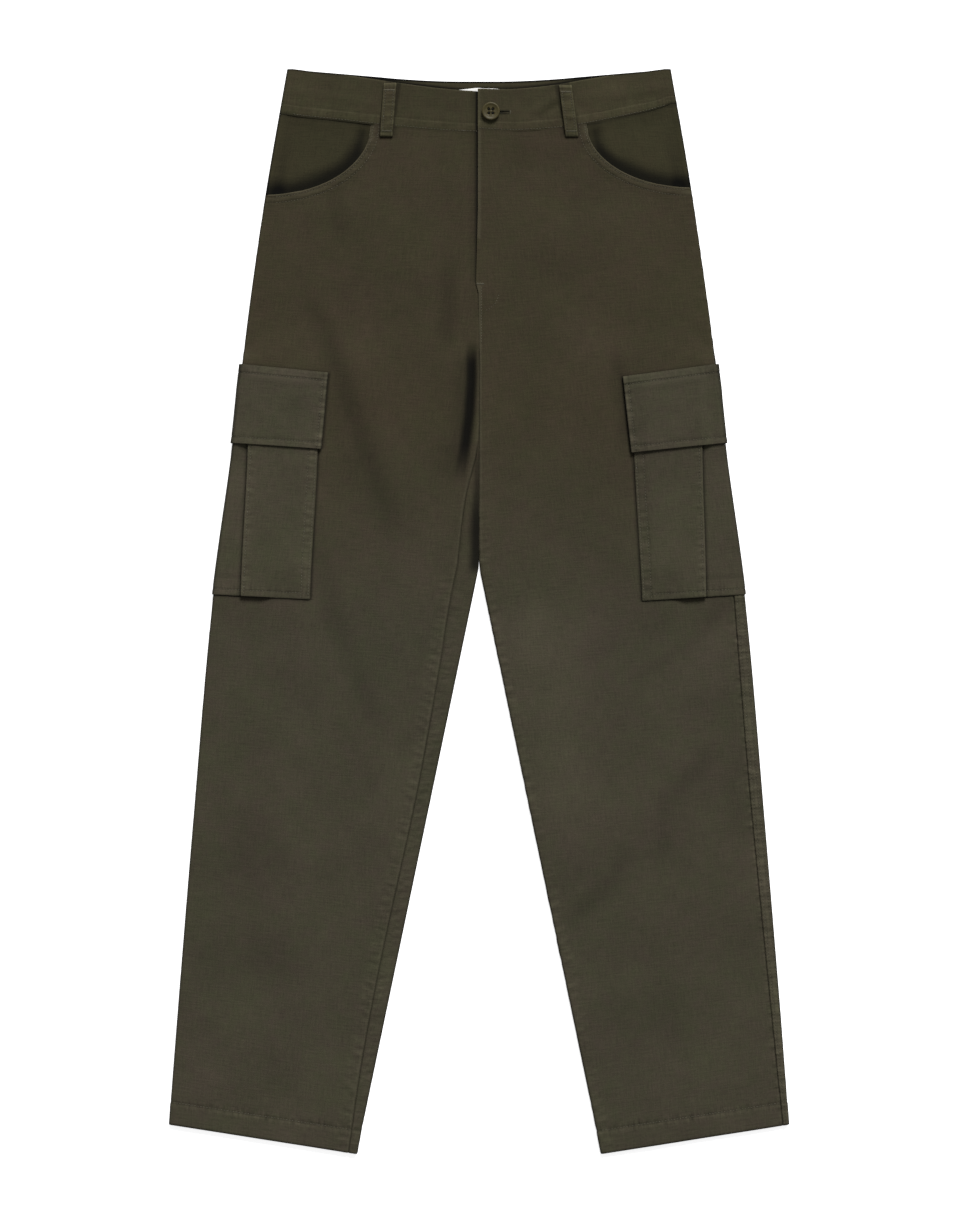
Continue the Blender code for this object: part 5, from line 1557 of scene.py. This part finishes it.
def span(start, end, step=6.0):
    """Even places from start to end, about a step apart."""
    count = max(2, round(abs(end - start) / step))
    return [blend(start, end, n / count) for n in range(count + 1)]


def down_leg(side, heights, girth):
    """Plan points of a line that crosses the rows, at the girth of each."""
    return [from_outer(side, height, girth(height))[:2] for height in heights]


def across_leg(side, height, start, end, layer=UPPER):
    """Plan points of a line along a row, from one girth to another."""
    return [from_outer(side, height, layer * girth)[:2] for girth in span(start, end)]


for side, hand in SIDES.items():
    # hems, on both faces
    width = leg_row(side, HEM_SEW_HEIGHT)[3]
    for layer, face in ((UPPER, "front"), (LOWER, "back")):
        hem = across_leg(side, HEM_SEW_HEIGHT, 3.0, width - 3.0, layer)
        sew(f"hem_stitches_{face}_{hand}", panels[side, layer], [hem], facing=layer)
    # hip pocket mouth: two rows
    angles = span(0.02, QUARTER - 0.07, 0.05)
    arcs = [[on_mouth(side, angle, away) for angle in angles] for away in MOUTH_STITCHES]
    rows = [[(side * x, y) for x, y in arc] for arc in arcs]
    sew(f"hip_mouth_stitches_{hand}", panels[side, UPPER], rows)
    # cargo pocket: inner edge twice, the pleat's fold, the foot
    heights = span(FLAP_FOOT + 3.0, POCKET_FOOT + 1.5)
    rows = [
        *(down_leg(side, heights, lambda h: pocket_reach(side, h)[0] - stitch) for stitch in POCKET_STITCHES),
        down_leg(side, heights, lambda h: pocket_reach(side, h)[1] + PLEAT_STITCH),
        across_leg(side, POCKET_FOOT + FOOT_STITCH, 3.0, pocket_reach(side, POCKET_FOOT)[0] - 1.0),
    ]
    sew(f"cargo_pocket_stitches_{hand}", pockets[side], rows)
    # flap: along its seam, its inner side and its foot
    width = flap_width[side](FLAP_FOOT)
    heights = span(FLAP_TOP - 9.0, FLAP_FOOT + 1.0)
    rows = [
        across_leg(side, FLAP_TOP - FLAP_SEAM_STITCH, 3.0, width - 1.0),
        down_leg(side, heights, lambda h: flap_width[side](h) + 0.9 - FLAP_SIDE_STITCH),
        across_leg(side, FLAP_FOOT + FLAP_FOOT_STITCH, 3.0, width),
    ]
    sew(f"flap_stitches_{hand}", flaps[side], rows)
    # waistband: just over its seam
    low, top = waist_seam[UPPER, side], band_top[UPPER, side]
    rows = [[(side * x, blend(low(x), top(x), 0.04)) for x in span(186.0, 1.0)]]
    sew(f"waist_seam_stitches_{hand}", bands[side], rows)
    # belt loop: both sides, and a bartack at each end
    rows = [[on_loop(side, part, over) for part in span(0.14, 0.89, 0.1)] for over in (-4.0, 4.0)]
    sew(f"belt_loop_stitches_{hand}", loops[side], rows, pitch=2.7, length=2.0)
    tacks = [[on_loop(side, part, over) for over in (-5.2, 5.2)] for part in (0.13, 0.9)]
    sew(f"belt_loop_bartacks_{hand}", loops[side], tacks, pitch=0.55, length=2.0, turn=BARTACK_TURN)

# outseam of the left leg, topstitched twice beside its seam, on the strip that shows
heights = span(POCKET_FOOT - 4.0, HEM_HEIGHT + 2.0)
rows = [
    down_leg(LEFT, heights, lambda h: outseam[LEFT](h) - OUTSEAM_STITCHES[0]),
    down_leg(LEFT, heights, lambda h: max(0.8, outseam[LEFT](h) - OUTSEAM_STITCHES[1])),
]
sew("outseam_stitches_left", panels[LEFT, LOWER], rows, pitch=3.4)
# fly: the lapped rise, its end tack and the short curve of the fly's stitching
rise = [(2.4, y) for y in span(324.0, 268.0)]
curved = [(2.5 + 18.0 * math.sin(turn), 322.0 - 22.0 * math.cos(turn)) for turn in span(0.2, 1.3, 0.1)]
sew("rise_stitches", panels[LEFT, UPPER], [rise, curved], pitch=2.8, length=2.1)
tack = [(-2.2, 327.0), (5.0, 327.0)]
sew("fly_bartack", panels[LEFT, UPPER], [tack], pitch=0.55, length=2.4, turn=BARTACK_TURN)
# buttonhole: close near-black stitches across both lips, which also paint the slit's shade, and a bar at its
# end
lips = [[(SLIT_START, SLIT_Y + over), (SLIT_END, SLIT_Y + over)] for over in (-1.05, 1.05)]
sew("buttonhole_stitches", bands[LEFT], lips, pitch=0.6, length=1.3, radius=0.2, turn=1.5, yarn=twist_and_hole_shade)
bar = [(SLIT_END + 0.9, SLIT_Y - 1.9), (SLIT_END + 0.9, SLIT_Y + 1.9)]
sew("buttonhole_bar", bands[LEFT], [bar], pitch=0.5, length=1.4, radius=0.22, turn=1.5)

# ------------------------------------------------------------------ button thread
# Two bars of thread through the button's holes, a near-black plug in each hole just under the face as painted
# shade, and the wound shank beneath it.
SHANK_FOOT = UNDERLAP_MID + BAND_CLOTH / 2
BAR_HALF = HOLE_SPACING / 2 * 1.15
wound = bmesh.new()
for up in (-0.5, 0.5):
    for ply_shift in (-0.3, 0.3):
        place = Vector((BUTTON_X, BUTTON_Y + up * HOLE_SPACING + ply_shift, BUTTON_FACE - 1.0))
        size = Matrix.Diagonal((BAR_HALF * MM, 0.26 * MM, 0.26 * MM, 1.0))
        lie = Matrix.Translation(place * MM) @ size
        bmesh.ops.create_icosphere(wound, subdivisions=2, radius=1.0, matrix=lie)
    # a near-black plug of twist in each hole, just under the face: painted shade that makes the holes look
    # deep
    for across in (-0.5, 0.5):
        place = (BUTTON_X + across * HOLE_SPACING, BUTTON_Y + up * HOLE_SPACING, BUTTON_FACE - 1.75)
        add_cone(wound, place, 1.4, 1.3, 1.1, 16)
shank_mid = (BUTTON_SEAT + SHANK_FOOT) / 2
add_cone(wound, (BUTTON_X, BUTTON_Y, shank_mid), 0.8, 0.8, BUTTON_SEAT - SHANK_FOOT, 20)
button_thread_and_hole_shade = place_in_scene("button_thread_and_hole_shade", wound, twist_and_hole_shade)
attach(button_thread_and_hole_shade, "root")
